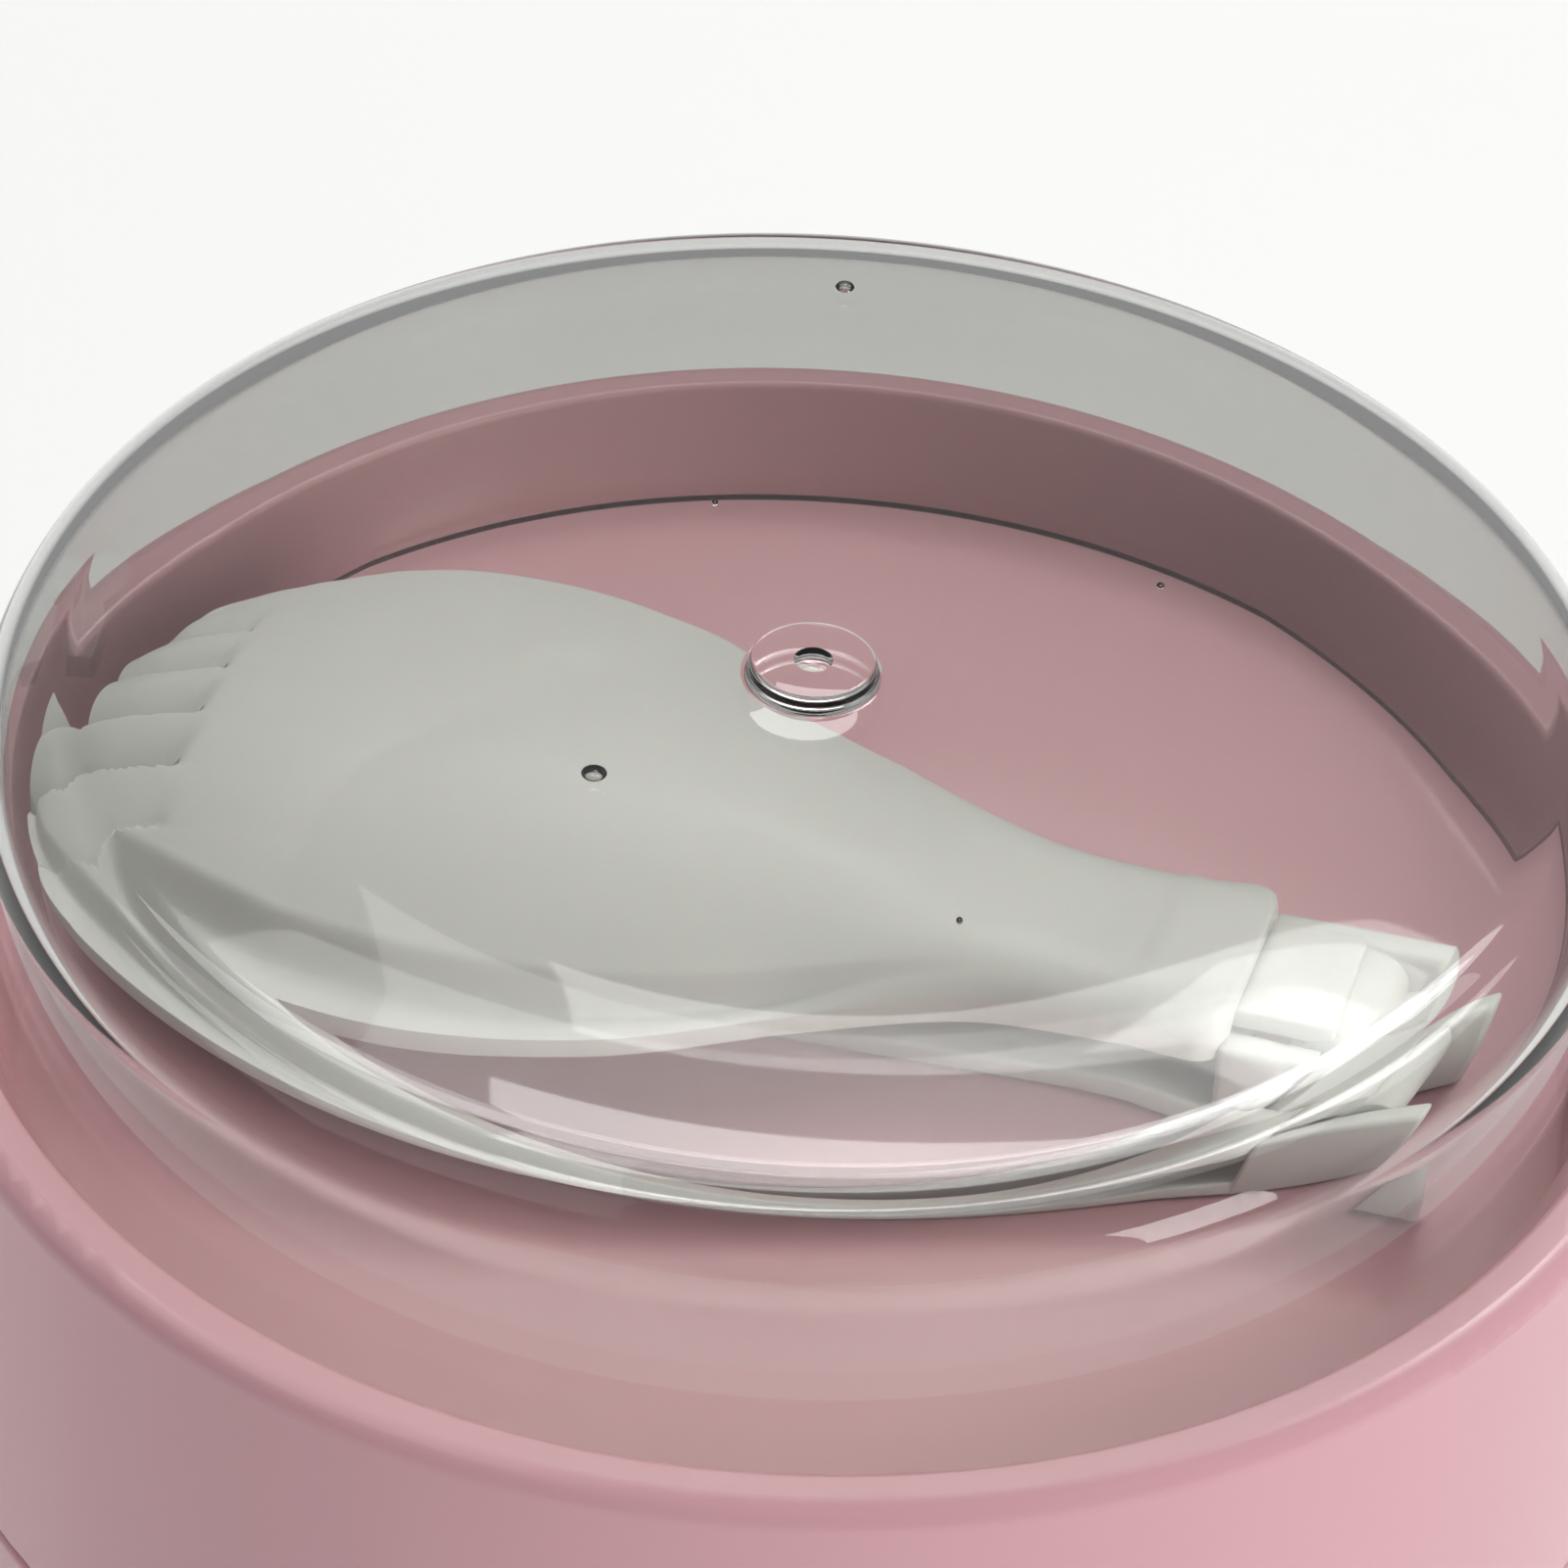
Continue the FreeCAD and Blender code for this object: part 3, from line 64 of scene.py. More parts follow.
RIM_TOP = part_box("collar_housing")[1].z
CAP_LOW, CAP_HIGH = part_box("clear_cap")
CAP_RADIUS = CAP_HIGH.x
CAP_WALL = 2.0 * MM
CAP_SHOULDER = 6.0 * MM
CAP_INNER_SHOULDER = 3.2 * MM
CAP_LIP = 0.4 * MM
NUB_RISE = 1.0 * MM
NUB_RADIUS = 3.75 * MM
NUB_EDGE = 0.35 * MM
NUB_FILLET = 0.5 * MM
GATE_RADIUS = 1.0 * MM
GATE_DEPTH = 0.4 * MM
CAP_TOP = CAP_HIGH.z - NUB_RISE

# Air bubbles in the cap's top, in millimetres: right, back, half width.
BUBBLES = (
    (-12.1, -9.8, 0.75),
    (0.6, 39.5, 0.6),
    (-6.4, 16.5, 0.2),
    (20.2, 10.9, 0.25),
    (9.0, -21.0, 0.2),
)
BUBBLE_HALF_HEIGHT = 0.45 * MM

# The spork is drawn along +X from the tips of its tines and then turned on the deck.
SPORK_TIP = Vector((-43.7, 9.4, 0.0)) * MM
SPORK_TURN = math.radians(-14.0)
SPORK_RIM = 149.8 * MM
SPORK_WALL = 1.6 * MM

# The spork's other sizes are in millimetres; shares, powers and counts have no unit.
SPORK_LENGTH = 73.0
SPORK_END_CORNER = 2.2

# Stations along the spork's upper half: distance, half width, crown.
SPORK_STATIONS = (
    (0.0, 7.6, 2.2),
    (3.0, 14.0, 3.8),
    (9.0, 18.0, 5.8),
    (18.0, 21.2, 7.1),
    (28.0, 21.6, 7.3),
    (38.0, 18.4, 6.4),
    (48.0, 12.0, 4.5),
    (57.0, 7.8, 3.4),
    (64.0, 7.2, 2.8),
    (73.0, 7.8, 3.0),
)

TINE_COUNT = 5
TINE_PITCH = 4.6
TINE_LENGTH = 9.5
TINE_END_SLANT = 1.5
TINE_END_RISE = 1.6
TINE_DEPTH = 1.7
TINE_ROLL_POWER = 1.8
TINE_TIP_ROUND = 3.2
LAST_TINE_SHARE = 0.4
SLOT_WIDTH = 0.7
SLOT_SHIFT_SHARE = 0.4

# The upper half's section: a flange, a step up to a dome, and a channel towards the neck.
# Widths are shares of the half width, heights are shares of the crown.
FLANGE_START = 0.88
FLANGE_TIP_GAIN = 0.10
FLANGE_TIP_ZONE = 20.0
FLANGE_BACK_LOSS = 0.08
FLANGE_HEIGHT = 0.05
STEP_WIDTH = 0.10
STEP_HEIGHT = 0.50
CHANNEL_DROP = 0.98
CHANNEL_POWER = 5
NECK_START = 44.0
NECK_FULL = 58.0
CREASE_ALONG = 67.5
CREASE_WIDTH = 0.9
CREASE_HEIGHT = 0.12

HINGE_ALONG = 79.0
HINGE_HEIGHT = 147.4
KNUCKLE_RADIUS = 2.8
KNUCKLE_HALF = 4.75
TONGUE_START = 71.0
TONGUE_HALF = 4.7
TONGUE_RISE = 1.2
TONGUE_THICK = 1.5

HANDLE_LOW = 142.4
HANDLE_THICK = 1.9
HANDLE_START = 14.0
HANDLE_HALF = 6.2
EAR_ALONG = 73.6
EAR_END = 84.4
EAR_TOP = 149.65
EAR_INNER = 5.0
EAR_OUTER = 7.2
EAR_OVERLAP = 1.0
EAR_LIFT = 0.02


# ---------------------------------------------------------------- materials

def shader_of(name):
    """A new material, its node tree and its Principled shader."""
    material = bpy.data.materials.new(name)
    material.use_nodes = True
    tree = material.node_tree
    return material, tree, tree.nodes["Principled BSDF"]


def noise(tree, scale, detail=3.0, roughness=0.5, stretch=(1, 1, 1)):
    """A noise texture in object space."""
    place = tree.nodes.new("ShaderNodeTexCoord")
    mapping = tree.nodes.new("ShaderNodeMapping")
    mapping.inputs["Scale"].default_value = stretch
    texture = tree.nodes.new("ShaderNodeTexNoise")
    texture.inputs["Scale"].default_value = scale
    texture.inputs["Detail"].default_value = detail
    texture.inputs["Roughness"].default_value = roughness
    tree.links.new(place.outputs["Object"], mapping.inputs["Vector"])
    tree.links.new(mapping.outputs["Vector"], texture.inputs["Vector"])
    return texture.outputs["Fac"]


def spread(tree, value, low, high):
    """Map a 0 to 1 value to a range."""
    node = tree.nodes.new("ShaderNodeMapRange")
    node.inputs["To Min"].default_value = low
    node.inputs["To Max"].default_value = high
    tree.links.new(value, node.inputs["Value"])
    return node.outputs["Result"]


def two_tone(tree, value, dark, light):
    """A colour between two close tones."""
    ramp = tree.nodes.new("ShaderNodeValToRGB")
    ramp.color_ramp.elements[0].color = (*dark, 1)
    ramp.color_ramp.elements[1].color = (*light, 1)
    ramp.color_ramp.elements[0].position = 0.3
    ramp.color_ramp.elements[1].position = 0.7
    tree.links.new(value, ramp.inputs["Fac"])
    return ramp.outputs["Color"]


def bump(tree, height, strength, distance, normal=None):
    """A bump from a height, laid over another normal when one is given."""
    node = tree.nodes.new("ShaderNodeBump")
    node.inputs["Strength"].default_value = strength
    node.inputs["Distance"].default_value = distance
    tree.links.new(height, node.inputs["Height"])
    if normal:
        tree.links.new(normal, node.inputs["Normal"])
    return node.outputs["Normal"]


def moulded(name, color, rough, grain=1400, depth=0.02 * MM, tone=0.03, coat=0.0, scatter=0.0,
            metal=0.0, stretch=(1, 1, 1)):
    """A moulded or machined surface: fine grain, slow waviness, uneven gloss and tone."""
    material, tree, shader = shader_of(name)
    dark = tuple(channel * (1 - tone) for channel in color)
    light = tuple(min(channel * (1 + tone), 1) for channel in color)
    shader.inputs["Metallic"].default_value = metal
    shader.inputs["Coat Weight"].default_value = coat
    shader.inputs["Coat Roughness"].default_value = 0.15
    shader.inputs["Subsurface Weight"].default_value = scatter
    shader.inputs["Subsurface Radius"].default_value = (4 * MM, 2 * MM, 2 * MM)
    slow = noise(tree, 35, 2)
    fine = noise(tree, grain, 4, 0.6, stretch)
    tree.links.new(two_tone(tree, slow, dark, light), shader.inputs["Base Color"])
    tree.links.new(spread(tree, fine, rough * 0.8, rough * 1.2), shader.inputs["Roughness"])
    waves = bump(tree, slow, 0.15, 0.3 * MM)
    tree.links.new(bump(tree, fine, 0.35, depth, waves), shader.inputs["Normal"])
    return material


def clear_plastic(name, tint, shade_tint):
    """Clear moulded plastic that lets the lamps' light through to what is under it."""
    material, tree, shader = shader_of(name)
    shader.inputs["Transmission Weight"].default_value = 1.0
    shader.inputs["IOR"].default_value = 1.49
    marks = noise(tree, 900, 3, 0.6)
    waves = noise(tree, 28, 2, 0.5, (1, 1, 0.25))
    darker = tuple(channel * 0.98 for channel in tint)
    tree.links.new(two_tone(tree, waves, darker, tint), shader.inputs["Base Color"])
    tree.links.new(spread(tree, marks, 0.0, 0.035), shader.inputs["Roughness"])
    tree.links.new(bump(tree, waves, 0.05, 0.2 * MM), shader.inputs["Normal"])
    clear = tree.nodes.new("ShaderNodeBsdfTransparent")
    clear.inputs["Color"].default_value = (*shade_tint, 1)
    path = tree.nodes.new("ShaderNodeLightPath")
    mix = tree.nodes.new("ShaderNodeMixShader")
    tree.links.new(path.outputs["Is Shadow Ray"], mix.inputs["Fac"])
    tree.links.new(shader.outputs["BSDF"], mix.inputs[1])
    tree.links.new(clear.outputs["BSDF"], mix.inputs[2])
    tree.links.new(mix.outputs["Shader"], tree.nodes["Material Output"].inputs["Surface"])
    return material


PINK = (0.62, 0.335, 0.365)
DRAWN = (1, 1, 12)
WOUND = (1, 1, 9)
SPUN = (1, 1, 20)

MATERIALS = {
    "pink_plastic": moulded("pink_plastic", PINK, rough=0.32, grain=2200, depth=0.003 * MM,
                            tone=0.015, coat=0.2, scatter=0.12),
    "clear_plastic": clear_plastic("clear_plastic", (0.73, 0.74, 0.72), (0.86, 0.86, 0.85)),
    "spork_plastic": moulded("spork_plastic", (0.67, 0.66, 0.63), rough=0.38, grain=2000,
                             depth=0.004 * MM, tone=0.02, coat=0.1, scatter=0.15),
    "white_plastic": moulded("white_plastic", (0.80, 0.78, 0.75), rough=0.42),
    "button_plastic": moulded("button_plastic", (0.82, 0.78, 0.77), rough=0.28, grain=900,
                              depth=0.01 * MM),
    "light_ring": moulded("light_ring", (0.88, 0.88, 0.84), rough=0.22, grain=900,
                          depth=0.01 * MM, tone=0.02, coat=0.3, scatter=0.4),
    "paddle_plastic": moulded("paddle_plastic", (0.80, 0.79, 0.75), rough=0.36),
    "gear_plastic": moulded("gear_plastic", (0.82, 0.80, 0.70), rough=0.38),
    "brass": moulded("brass", (0.75, 0.55, 0.25), rough=0.28, grain=1800, depth=0.01 * MM,
                     tone=0.06, metal=1.0, stretch=DRAWN),
    "steel": moulded("steel", (0.56, 0.56, 0.57), rough=0.27, grain=1800, depth=0.01 * MM,
                     tone=0.05, metal=1.0, stretch=DRAWN),
    "bowl_metal": moulded("bowl_metal", (0.74, 0.75, 0.76), rough=0.30, grain=1500,
                          depth=0.01 * MM, tone=0.04, metal=1.0, stretch=SPUN),
    "copper_winding": moulded("copper_winding", (0.50, 0.20, 0.08), rough=0.34, grain=600,
                              depth=0.1 * MM, tone=0.15, metal=0.8, stretch=WOUND),
    "magnet": moulded("magnet", (0.06, 0.06, 0.065), rough=0.5, grain=900, depth=0.04 * MM,
                      tone=0.1),
    "cell_sleeve": moulded("cell_sleeve", (0.07, 0.19, 0.38), rough=0.25, grain=500,
                           depth=0.03 * MM, tone=0.05, coat=0.4),
    "board_green": moulded("board_green", (0.02, 0.13, 0.06), rough=0.3, grain=400,
                           depth=0.06 * MM, tone=0.2, coat=0.4),
    "switch_black": moulded("switch_black", (0.03, 0.03, 0.03), rough=0.45),
    "foam": moulded("foam", (0.80, 0.77, 0.68), rough=0.9, grain=450, depth=0.4 * MM,
                    tone=0.06),
    "gel": moulded("gel", (0.35, 0.58, 0.72), rough=0.25, grain=300, depth=0.1 * MM, tone=0.1,
                   scatter=0.5),
    "soft_rubber": moulded("soft_rubber", (0.72, 0.70, 0.68), rough=0.55, grain=1200,
                           depth=0.03 * MM),
}


def dress_frame():
    """Give every CAD node the material of its slot."""
    for part in frame["record"]["subparts"]:
        node = frame["nodes"][part["node"]]
        material = MATERIALS[part["material_slot"]]
        if node.data.materials:
            for index in range(len(node.data.materials)):
                node.data.materials[index] = material
        else:
            node.data.materials.append(material)


# ---------------------------------------------------------------- mesh helpers

def object_of(name, mesh):
    """A new object of a mesh, linked to the scene."""
    piece = bpy.data.objects.new(name, mesh)
    bpy.context.scene.collection.objects.link(piece)
    return piece


def smooth(piece, angle=40):
    """Smooth shading, with edges sharper than the angle kept."""
    for polygon in piece.data.polygons:
        polygon.use_smooth = True
    piece.data.set_sharp_from_angle(angle=math.radians(angle))


def arc(centre_r, centre_z, radius, start, end, steps):
    """Points of a quarter round in (radius, height), angles in degrees."""
    points = []
    for step in range(steps + 1):
        angle = math.radians(start + (end - start) * step / steps)
        points.append((centre_r + radius * math.cos(angle), centre_z + radius * math.sin(angle)))
    return points


def lathe(name, outline, steps=LATHE_STEPS):
    """Turn an outline of (radius, height) points about Z; a zero radius closes it."""
    mesh = bpy.data.meshes.new(name)
    builder = bmesh.new()
    rings = []
    for radius, height in outline:
        if radius < 1e-7:
            rings.append([builder.verts.new((0, 0, height))])
            continue
        ring = []
        for step in range(steps):
            turn = 2 * math.pi * step / steps
            ring.append(builder.verts.new((radius * math.cos(turn), radius * math.sin(turn), height)))
        rings.append(ring)
    closed = outline[0][0] > 1e-7
    pairs = list(zip(rings, rings[1:] + rings[:1] if closed else rings[1:]))
    for low, high in pairs:
        join_rings(builder, low, high, steps)
    bmesh.ops.recalc_face_normals(builder, faces=builder.faces)
    builder.to_mesh(mesh)
    builder.free()
    return object_of(name, mesh)


def join_rings(builder, low, high, steps):
    """Faces between two rings, either of which may be a single point."""
    if len(low) == 1 and len(high) == 1:
        return
    for step in range(steps):
        after = (step + 1) % steps
        if len(low) == 1:
            builder.faces.new((low[0], high[after], high[step]))
        elif len(high) == 1:
            builder.faces.new((low[step], low[after], high[0]))
        else:
            builder.faces.new((low[step], low[after], high[after], high[step]))


def apply_modifiers(piece):
    """Replace a piece's mesh by its evaluated one."""
    graph = bpy.context.evaluated_depsgraph_get()
    mesh = bpy.data.meshes.new_from_object(piece.evaluated_get(graph))
    piece.modifiers.clear()
    piece.data = mesh


def prism(name, outline, low, high):
    """An upright prism from an outline of (x, y) points."""
    mesh = bpy.data.meshes.new(name)
    builder = bmesh.new()
    base = builder.faces.new([builder.verts.new((x, y, low)) for x, y in outline])
    top = bmesh.ops.extrude_face_region(builder, geom=[base])
    moved = [item for item in top["geom"] if isinstance(item, bmesh.types.BMVert)]
    bmesh.ops.translate(builder, verts=moved, vec=(0, 0, high - low))
    bmesh.ops.recalc_face_normals(builder, faces=builder.faces)
    builder.to_mesh(mesh)
    builder.free()
    return object_of(name, mesh)


def finish_piece(piece, body, slot, replaced=None):
    """Material, body, slot and the CAD node that a piece stands for."""
    piece.data.materials.clear()
    piece.data.materials.append(MATERIALS[slot])
    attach(piece, body)
    if replaced:
        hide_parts(replaced)
    return piece


# ---------------------------------------------------------------- clear cap

def cap_outline():
    """The cap's wall as a closed outline, from the middle of the nub round to inside."""
    inner = CAP_RADIUS - CAP_WALL
    low = CAP_LOW.z
    shoulder_low = CAP_TOP - CAP_SHOULDER
    under_top = CAP_TOP - CAP_WALL
    nub_top = CAP_TOP + NUB_RISE
    gate_floor = nub_top - GATE_DEPTH
    chamfer = 0.1 * MM
    flat_shares = (0.2, 0.4, 0.6, 0.8)
    wall_heights = [low + (shoulder_low - low) * share for share in (0.25, 0.5, 0.75)]
    points = [(0, gate_floor), (GATE_RADIUS * 0.8, gate_floor)]
    points += [(GATE_RADIUS, nub_top - GATE_DEPTH / 2), (GATE_RADIUS * 1.15, nub_top)]
    points += arc(NUB_RADIUS - NUB_EDGE, nub_top - NUB_EDGE, NUB_EDGE, 90, 0, 6)
    points += arc(NUB_RADIUS + NUB_FILLET, CAP_TOP + NUB_FILLET, NUB_FILLET, 180, 270, 6)
    points += [(CAP_RADIUS * share, CAP_TOP) for share in flat_shares]
    points += arc(CAP_RADIUS - CAP_SHOULDER, shoulder_low, CAP_SHOULDER, 90, 0, 28)
    points += [(CAP_RADIUS, height) for height in reversed(wall_heights)]
    points += arc(CAP_RADIUS - CAP_LIP, low + CAP_LIP, CAP_LIP, 0, -90, 5)
    points += [(inner + chamfer, low), (inner, low + chamfer)]
    points += [(inner, height) for height in wall_heights]
    points += arc(inner - CAP_INNER_SHOULDER, shoulder_low, CAP_INNER_SHOULDER, 0, 90, 24)
    points += [(inner * share, under_top) for share in reversed(flat_shares)]
    points.append((0, under_top))
    return points


def bubble(place, half_width, half_height, bands=12, steps=32):
    """A flat air bubble inside the clear wall: a closed skin that faces inwards."""
    outline = []
    for band in range(bands + 1):
        angle = math.radians(-90 + 180 * band / bands)
        width = half_width * abs(round(math.cos(angle), 6))
        outline.append((width, half_height * math.sin(angle)))
    piece = lathe("bubble", outline, steps)
    piece.data.transform(Matrix.Translation(place))
    piece.data.flip_normals()
    return piece


def clear_cap():
    """The clear cap, with the bubbles halfway through its top."""
    shell = lathe("cap_wall", cap_outline())
    middle = CAP_TOP - CAP_WALL / 2
    bubbles = [bubble((right * MM, back * MM, middle), half_width * MM, BUBBLE_HALF_HEIGHT)
               for right, back, half_width in BUBBLES]
    piece = join([shell, *bubbles], "cap_moulding")
    smooth(piece, 50)
    return finish_piece(piece, "cap", "clear_plastic", "clear_cap")


# ---------------------------------------------------------------- spork

def blend_at(along, column):
    """A station value at a distance along the spork, with a smooth change between stations."""
    rows = SPORK_STATIONS
    for index in range(len(rows) - 1):
        if along <= rows[index + 1][0]:
            break
    before = rows[max(index - 1, 0)]
    low, high = rows[index], rows[index + 1]
    after = rows[min(index + 2, len(rows) - 1)]
    span = high[0] - low[0]
    share = (along - low[0]) / span
    slope_low = (high[column] - before[column]) / (high[0] - before[0]) * span
    slope_high = (after[column] - low[column]) / (after[0] - low[0]) * span
    square, cube = share ** 2, share ** 3
    return ((2 * cube - 3 * square + 1) * low[column] + (cube - 2 * square + share) * slope_low
            + (3 * square - 2 * cube) * high[column] + (cube - square) * slope_high)


def ease(low, high, value):
    """A smooth rise from 0 at low to 1 at high; it falls when high is below low."""
    share = min(max((value - low) / (high - low), 0), 1)
    return share * share * (3 - 2 * share)


def tine_scoop(along, across):
    """Depth between the tines: each one rolls down towards the front and ends in a valley."""
    place = (TINE_PITCH * TINE_COUNT / 2 - across) / TINE_PITCH
    if place < 0 or place > TINE_COUNT:
        return 0.0
    part = place % 1
    if place >= TINE_COUNT - 1:
        part = part * LAST_TINE_SHARE
    end = TINE_LENGTH - TINE_END_SLANT * part
    return TINE_DEPTH * part ** TINE_ROLL_POWER * ease(end, end - TINE_END_RISE, along)


def spork_height(along, across, half, crown):
    """Height over the rim: a flat flange, a step up, and a broad dome; a channel at the neck."""
    part = min(abs(across) / half, 1)
    flange = FLANGE_START - FLANGE_TIP_GAIN * ease(FLANGE_TIP_ZONE, 0, along)
    if across > 0:
        flange += FLANGE_BACK_LOSS
    wall = flange - STEP_WIDTH
    dome = STEP_HEIGHT + (1 - STEP_HEIGHT) * (1 - (min(part, wall) / wall) ** 2)
    bowl = FLANGE_HEIGHT + (dome - FLANGE_HEIGHT) * ease(flange, wall, part)
    channel = math.sqrt(1 - CHANNEL_DROP * part ** CHANNEL_POWER)
    mix = ease(NECK_START, NECK_FULL, along)
    height = crown * (bowl * (1 - mix) + channel * mix)
    crease = CREASE_HEIGHT * math.exp(-((along - CREASE_ALONG) / CREASE_WIDTH) ** 2) * mix
    return height - tine_scoop(along, across) + crease


def end_factor(along):
    """Narrows the outline over the rounded corners of the neck's end."""
    into = along - (SPORK_LENGTH - SPORK_END_CORNER)
    if into <= 0:
        return 0.0
    return SPORK_END_CORNER - math.sqrt(max(SPORK_END_CORNER ** 2 - into ** 2, 0))


def spork_skin(rows=200, columns=120, crowding=1.15):
    """The upper half's outer skin as a grid, with its rows closer together near the tips."""
    builder = bmesh.new()
    grid = []
    for row in range(rows + 1):
        along = SPORK_LENGTH * (row / rows) ** crowding
        half = blend_at(along, 1) - end_factor(along)
        crown = blend_at(along, 2)
        line = []
        for column in range(columns + 1):
            across = half * (2 * column / columns - 1)
            start = tip_start(across) * (1 - along / SPORK_LENGTH) ** 3
            height = SPORK_RIM + spork_height(along, across, half, crown) * MM
            line.append(builder.verts.new(((along + start) * MM, across * MM, height)))
        grid.append(line)
    for row in range(rows):
        for column in range(columns):
            builder.faces.new((grid[row][column], grid[row + 1][column],
                               grid[row + 1][column + 1], grid[row][column + 1]))
    return builder


def spork_shell():
    """The upper half: its skin, slotted between the tines and thickened downwards."""
    builder = spork_skin()
    for index in range(TINE_COUNT - 1):
        middle = index - (TINE_COUNT - 2) / 2
        cut_slot(builder, (middle * TINE_PITCH + SLOT_WIDTH * SLOT_SHIFT_SHARE) * MM)
    skin = bmesh.ops.extrude_face_region(builder, geom=builder.faces[:], use_keep_orig=True)
    lower = [item for item in skin["geom"] if isinstance(item, bmesh.types.BMVert)]
    bmesh.ops.translate(builder, verts=lower, vec=(0, 0, -SPORK_WALL))
    bmesh.ops.recalc_face_normals(builder, faces=builder.faces)
    mesh = bpy.data.meshes.new("spork_upper")
    builder.to_mesh(mesh)
    builder.free()
    return object_of("spork_upper", mesh)


def cut_slot(builder, across):
    """Open the gap between two tines in the skin; the cuts get their geometry in a fixed order."""
    half = SLOT_WIDTH / 2 * MM
    end = (TINE_LENGTH - TINE_END_SLANT) * MM
    near_half, near_end = half * 4, end * 1.2
    cuts = (
        ((0, across - half, 0), (0, 1, 0)),
        ((0, across + half, 0), (0, 1, 0)),
        ((end, 0, 0), (1, 0, 0)),
    )
    for place, normal in cuts:
        near = [face for face in builder.faces if in_slot(face, across, near_half, near_end)]
        edges = dict.fromkeys(edge for face in near for edge in face.edges)
        verts = dict.fromkeys(vert for face in near for vert in face.verts)
        bmesh.ops.bisect_plane(builder, geom=[*near, *edges, *verts], dist=1e-6, plane_co=place,
                               plane_no=normal)
    gone = [face for face in builder.faces if in_slot(face, across, half, end)]
    bmesh.ops.delete(builder, geom=gone, context="FACES")


def in_slot(face, across, half, end):
    """Whether a face's middle is in a strip that runs from the tips to an end."""
    middle = face.calc_center_median()
    return middle.x < end and abs(middle.y - across) < half


def tip_start(across):
    """How far back each tine's rounded end starts from the tip line, in millimetres."""
    place = (across / TINE_PITCH + 0.5) % 1 - 0.5
    return 1.0 - math.sqrt(1 - TINE_TIP_ROUND * place ** 2)


def lay_spork(piece):
    """Turn a piece drawn along +X to where the spork lies, with its place in its mesh."""
    piece.data.transform(Matrix.Translation(SPORK_TIP) @ Matrix.Rotation(SPORK_TURN, 4, "Z"))
    return piece


def hinge_bar(name, radius, half_length, edge=0.2 * MM, steps=48):
    """A round bar on the spork's hinge, along Y, with softened ends."""
    outline = [(0, -half_length), (radius - edge, -half_length), (radius, edge - half_length),
               (radius, half_length - edge), (radius - edge, half_length), (0, half_length)]
    bar = lathe(name, outline, steps)
    lift = Matrix.Translation((HINGE_ALONG * MM, 0, HINGE_HEIGHT * MM))
    bar.data.transform(lift @ Matrix.Rotation(math.radians(90), 4, "X"))
    return bar


def join(pieces, name):
    """Join pieces into one object."""
    mesh = bpy.data.meshes.new(name)
    builder = bmesh.new()
    for piece in pieces:
        builder.from_mesh(piece.data)
    builder.to_mesh(mesh)
    builder.free()
    for piece in pieces:
        bpy.data.objects.remove(piece)
    return object_of(name, mesh)


def soften(piece, width, segments=3, angle=35):
    """Round the edges that are sharper than the angle."""
    modifier = piece.modifiers.new("soften", "BEVEL")
    modifier.width = width
    modifier.segments = segments
    modifier.limit_method = "ANGLE"
    modifier.angle_limit = math.radians(angle)
    modifier.use_clamp_overlap = True


def rounded_box(name, low, high, width):
    """A box with softened edges."""
    outline = [(low[0], low[1]), (high[0], low[1]), (high[0], high[1]), (low[0], high[1])]
    box = prism(name, outline, low[2], high[2])
    soften(box, width)
    apply_modifiers(box)
    return box


def spork_upper():
    """The upper half: the bowl with its tines, a tongue over the hinge, and its knuckle."""
    shell = spork_shell()
    soften(shell, 0.18 * MM, 2, 50)
    apply_modifiers(shell)
    top = SPORK_RIM / MM + TONGUE_RISE
    low_corner = Vector((TONGUE_START, -TONGUE_HALF, top - TONGUE_THICK)) * MM
    high_corner = Vector((HINGE_ALONG, TONGUE_HALF, top)) * MM
    tongue = rounded_box("tongue", low_corner, high_corner, 0.25 * MM)
    knuckle = hinge_bar("knuckle", KNUCKLE_RADIUS * MM, KNUCKLE_HALF * MM)
    piece = join([shell, tongue, knuckle], "spork_upper_half")
    smooth(piece, 45)
    return finish_piece(lay_spork(piece), "spork_upper", "spork_plastic", "spork_bowl")


def handle_blade():
    """The flat blade of the lower half, narrow at its free end and widened at the ears."""
    side = [
        (HANDLE_START, HANDLE_HALF / 1.5),
        (HANDLE_START + HANDLE_HALF / 2, HANDLE_HALF),
        (EAR_ALONG - HANDLE_HALF, HANDLE_HALF),
        (EAR_ALONG, EAR_OUTER),
    ]
    mirrored = [(along, -across) for along, across in side]
    outline = [(along * MM, across * MM) for along, across in mirrored + side[::-1]]
    blade = prism("blade", outline, HANDLE_LOW * MM, (HANDLE_LOW + HANDLE_THICK) * MM)
    soften(blade, 0.4 * MM)
    apply_modifiers(blade)
    return blade


def spork_lower():
    """The lower half: a flat handle and two ears for the hinge pin."""
    pieces = [handle_blade()]
    # The ears start a hair above the blade's underside, so no two faces lie on each other.
    for side in (1, -1):
        near, far = sorted((EAR_INNER * side, EAR_OUTER * side))
        low_corner = Vector((EAR_ALONG - EAR_OVERLAP, near, HANDLE_LOW + EAR_LIFT)) * MM
        high_corner = Vector((EAR_END, far, EAR_TOP)) * MM
        pieces.append(rounded_box("ear", low_corner, high_corner, 0.5 * MM))
    piece = join(pieces, "spork_lower_half")
    smooth(piece, 45)
    return finish_piece(lay_spork(piece), "spork_lower", "spork_plastic", "spork_handle")


# ---------------------------------------------------------------- stage

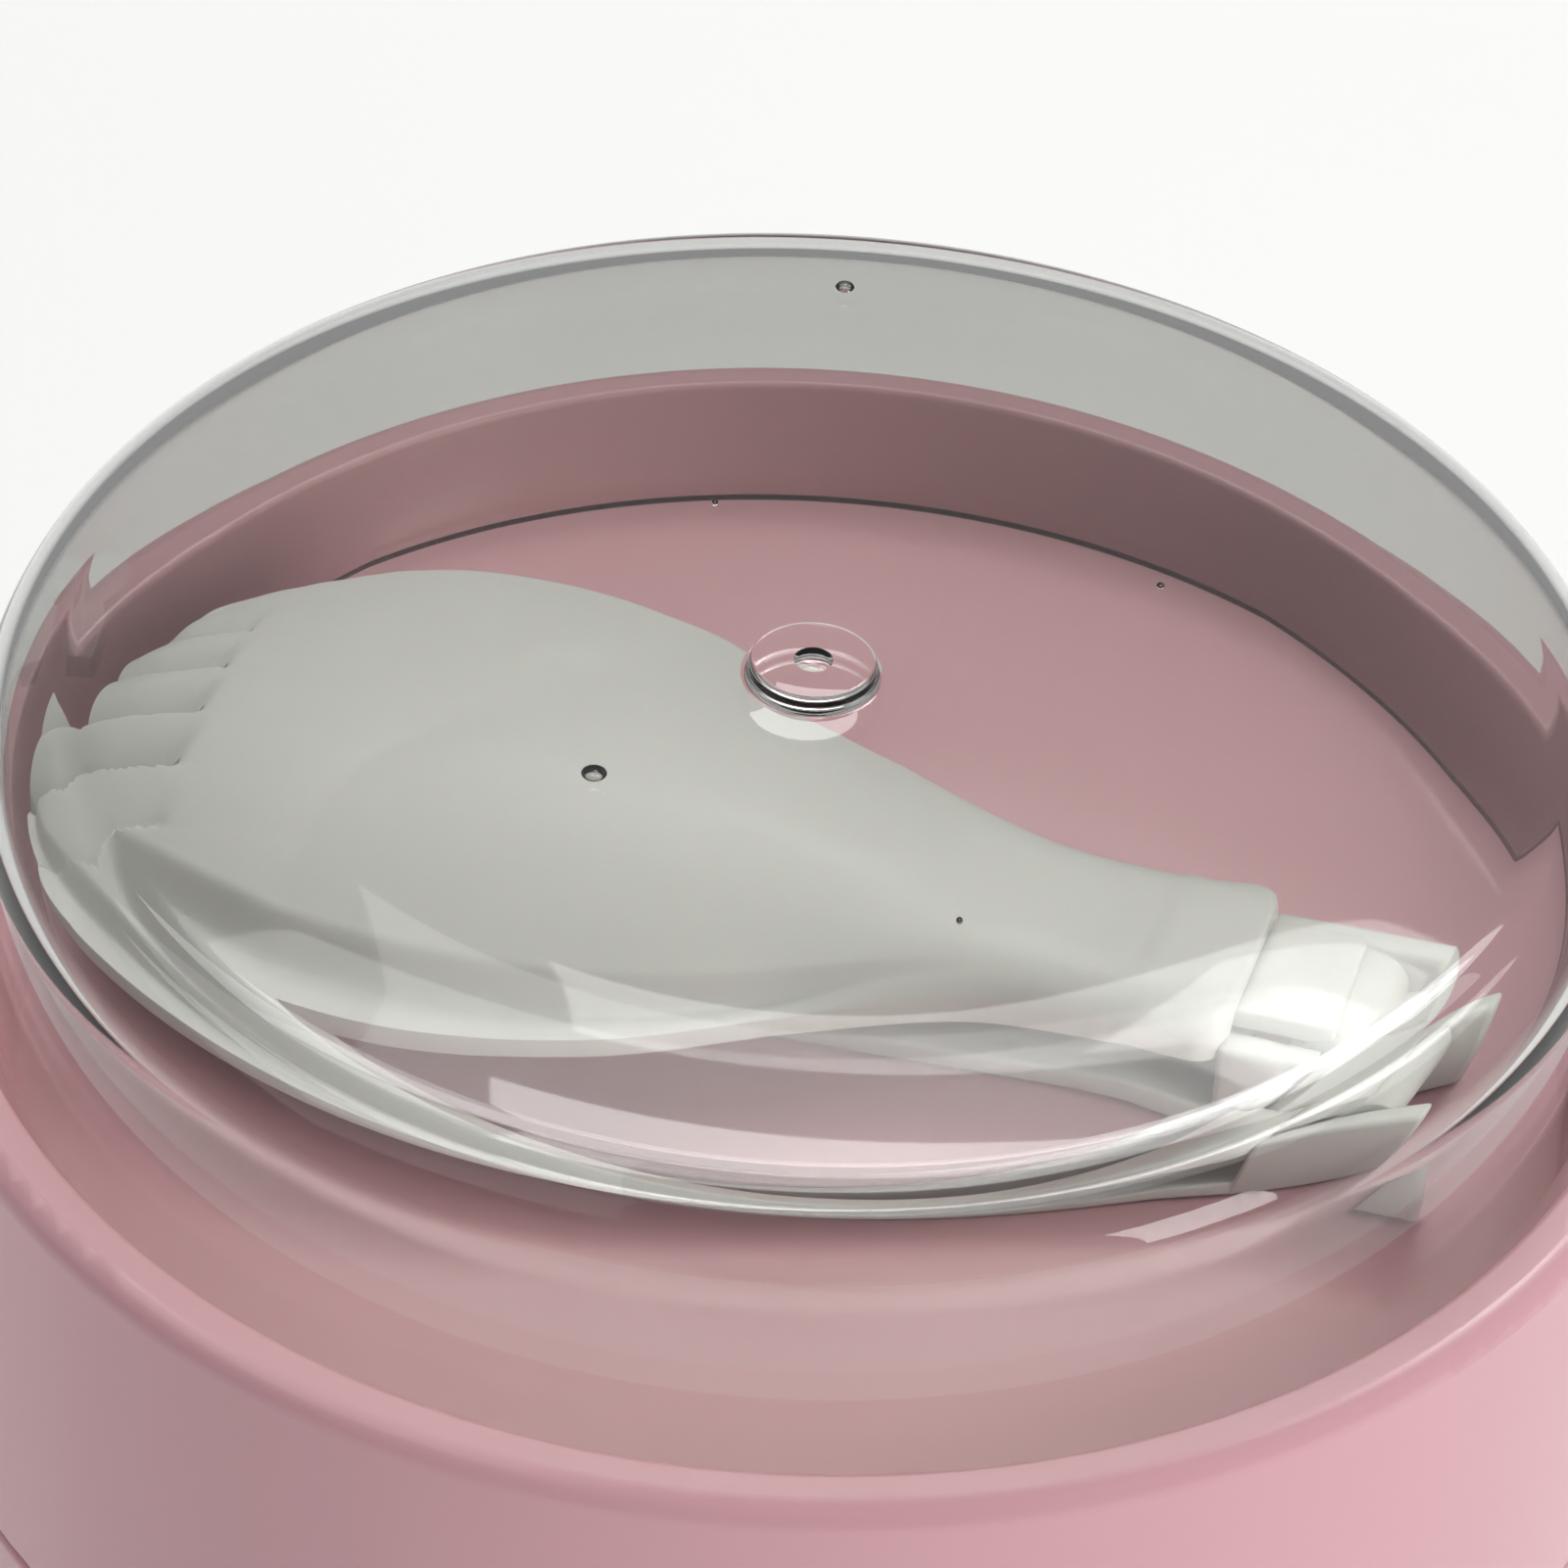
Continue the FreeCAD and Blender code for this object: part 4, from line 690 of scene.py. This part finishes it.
def stage_floor(half_size=6.0, squares=8):
    """A pale floor that reaches well past the view."""
    mesh = bpy.data.meshes.new("floor")
    builder = bmesh.new()
    bmesh.ops.create_grid(builder, x_segments=squares, y_segments=squares, size=half_size)
    builder.to_mesh(mesh)
    builder.free()
    floor = object_of("floor", mesh)
    material, tree, shader = shader_of("floor_paper")
    tone = two_tone(tree, noise(tree, 3), (0.955, 0.95, 0.93), (0.975, 0.97, 0.95))
    tree.links.new(tone, shader.inputs["Base Color"])
    shader.inputs["Roughness"].default_value = 0.8
    floor.data.materials.append(material)


def lamp(name, place, aim, size, power, mirrored=True):
    """A rectangular soft box aimed at a point; one that isn't mirrored leaves no reflection."""
    data = bpy.data.lights.new(name, "AREA")
    data.shape = "RECTANGLE"
    data.size, data.size_y = size
    data.energy = power
    light = bpy.data.objects.new(name, data)
    light.visible_glossy = mirrored
    light.location = place
    light.rotation_euler = (Vector(aim) - Vector(place)).to_track_quat("-Z", "Y").to_euler()
    bpy.context.scene.collection.objects.link(light)


def daylight(color, strength):
    """An even light from all round."""
    world = bpy.data.worlds.new("studio")
    world.use_nodes = True
    back = world.node_tree.nodes["Background"]
    back.inputs["Color"].default_value = (*color, 1)
    back.inputs["Strength"].default_value = strength
    bpy.context.scene.world = world


def studio():
    """Soft boxes behind and above, which the cap mirrors, and a fill at the front right."""
    daylight((0.95, 0.97, 1.0), 0.345)
    middle = (0, 0, RIM_TOP)
    lamp("key", (0.25, 0.72, 1.36), middle, (1.1, 0.5), 4.2)
    lamp("ridge_wide", (0.19, 0.775, 1.055), middle, (0.56, 0.16), 1.4)
    lamp("ridge_core", (0.272, 0.747, 1.055), middle, (0.26, 0.12), 0.45)
    lamp("front_right", (0.85, -0.62, 0.50), middle, (0.35, 0.6), 6.9, mirrored=False)
    lamp("top", (-0.5, 0.1, 1.2), middle, (0.9, 0.7), 2.6)
    lamp("floor_back", (0.0, 1.0, 1.6), (0.0, 0.5, 0.0), (1.2, 0.4), 4.6)
    bpy.context.scene.view_settings.view_transform = "Standard"


def camera():
    """The camera looks at the middle of the collar's rim, then turns a little about its axes."""
    data = bpy.data.cameras.new("camera")
    data.lens = LENS
    data.sensor_width = SENSOR_WIDTH
    place = Vector((0, -CAMERA_DISTANCE * math.cos(CAMERA_ELEVATION),
                    CAMERA_DISTANCE * math.sin(CAMERA_ELEVATION)))
    ahead = -place.normalized()
    right = Vector((1, 0, 0))
    up = right.cross(ahead)
    ahead = (ahead + right * math.tan(CAMERA_YAW) + up * math.tan(CAMERA_PITCH)).normalized()
    right = ahead.cross(Vector((0, 0, 1))).normalized()
    up = right.cross(ahead)
    rolled_right = math.cos(CAMERA_ROLL) * right + math.sin(CAMERA_ROLL) * up
    rolled_up = math.cos(CAMERA_ROLL) * up - math.sin(CAMERA_ROLL) * right
    item = bpy.data.objects.new("camera", data)
    turn = Matrix((rolled_right, rolled_up, -ahead)).transposed().to_4x4()
    item.matrix_world = Matrix.Translation(place + Vector((0, 0, RIM_TOP))) @ turn
    bpy.context.scene.collection.objects.link(item)
    bpy.context.scene.camera = item


dress_frame()
clear_cap()
spork_upper()
spork_lower()
stage_floor()
studio()
camera()
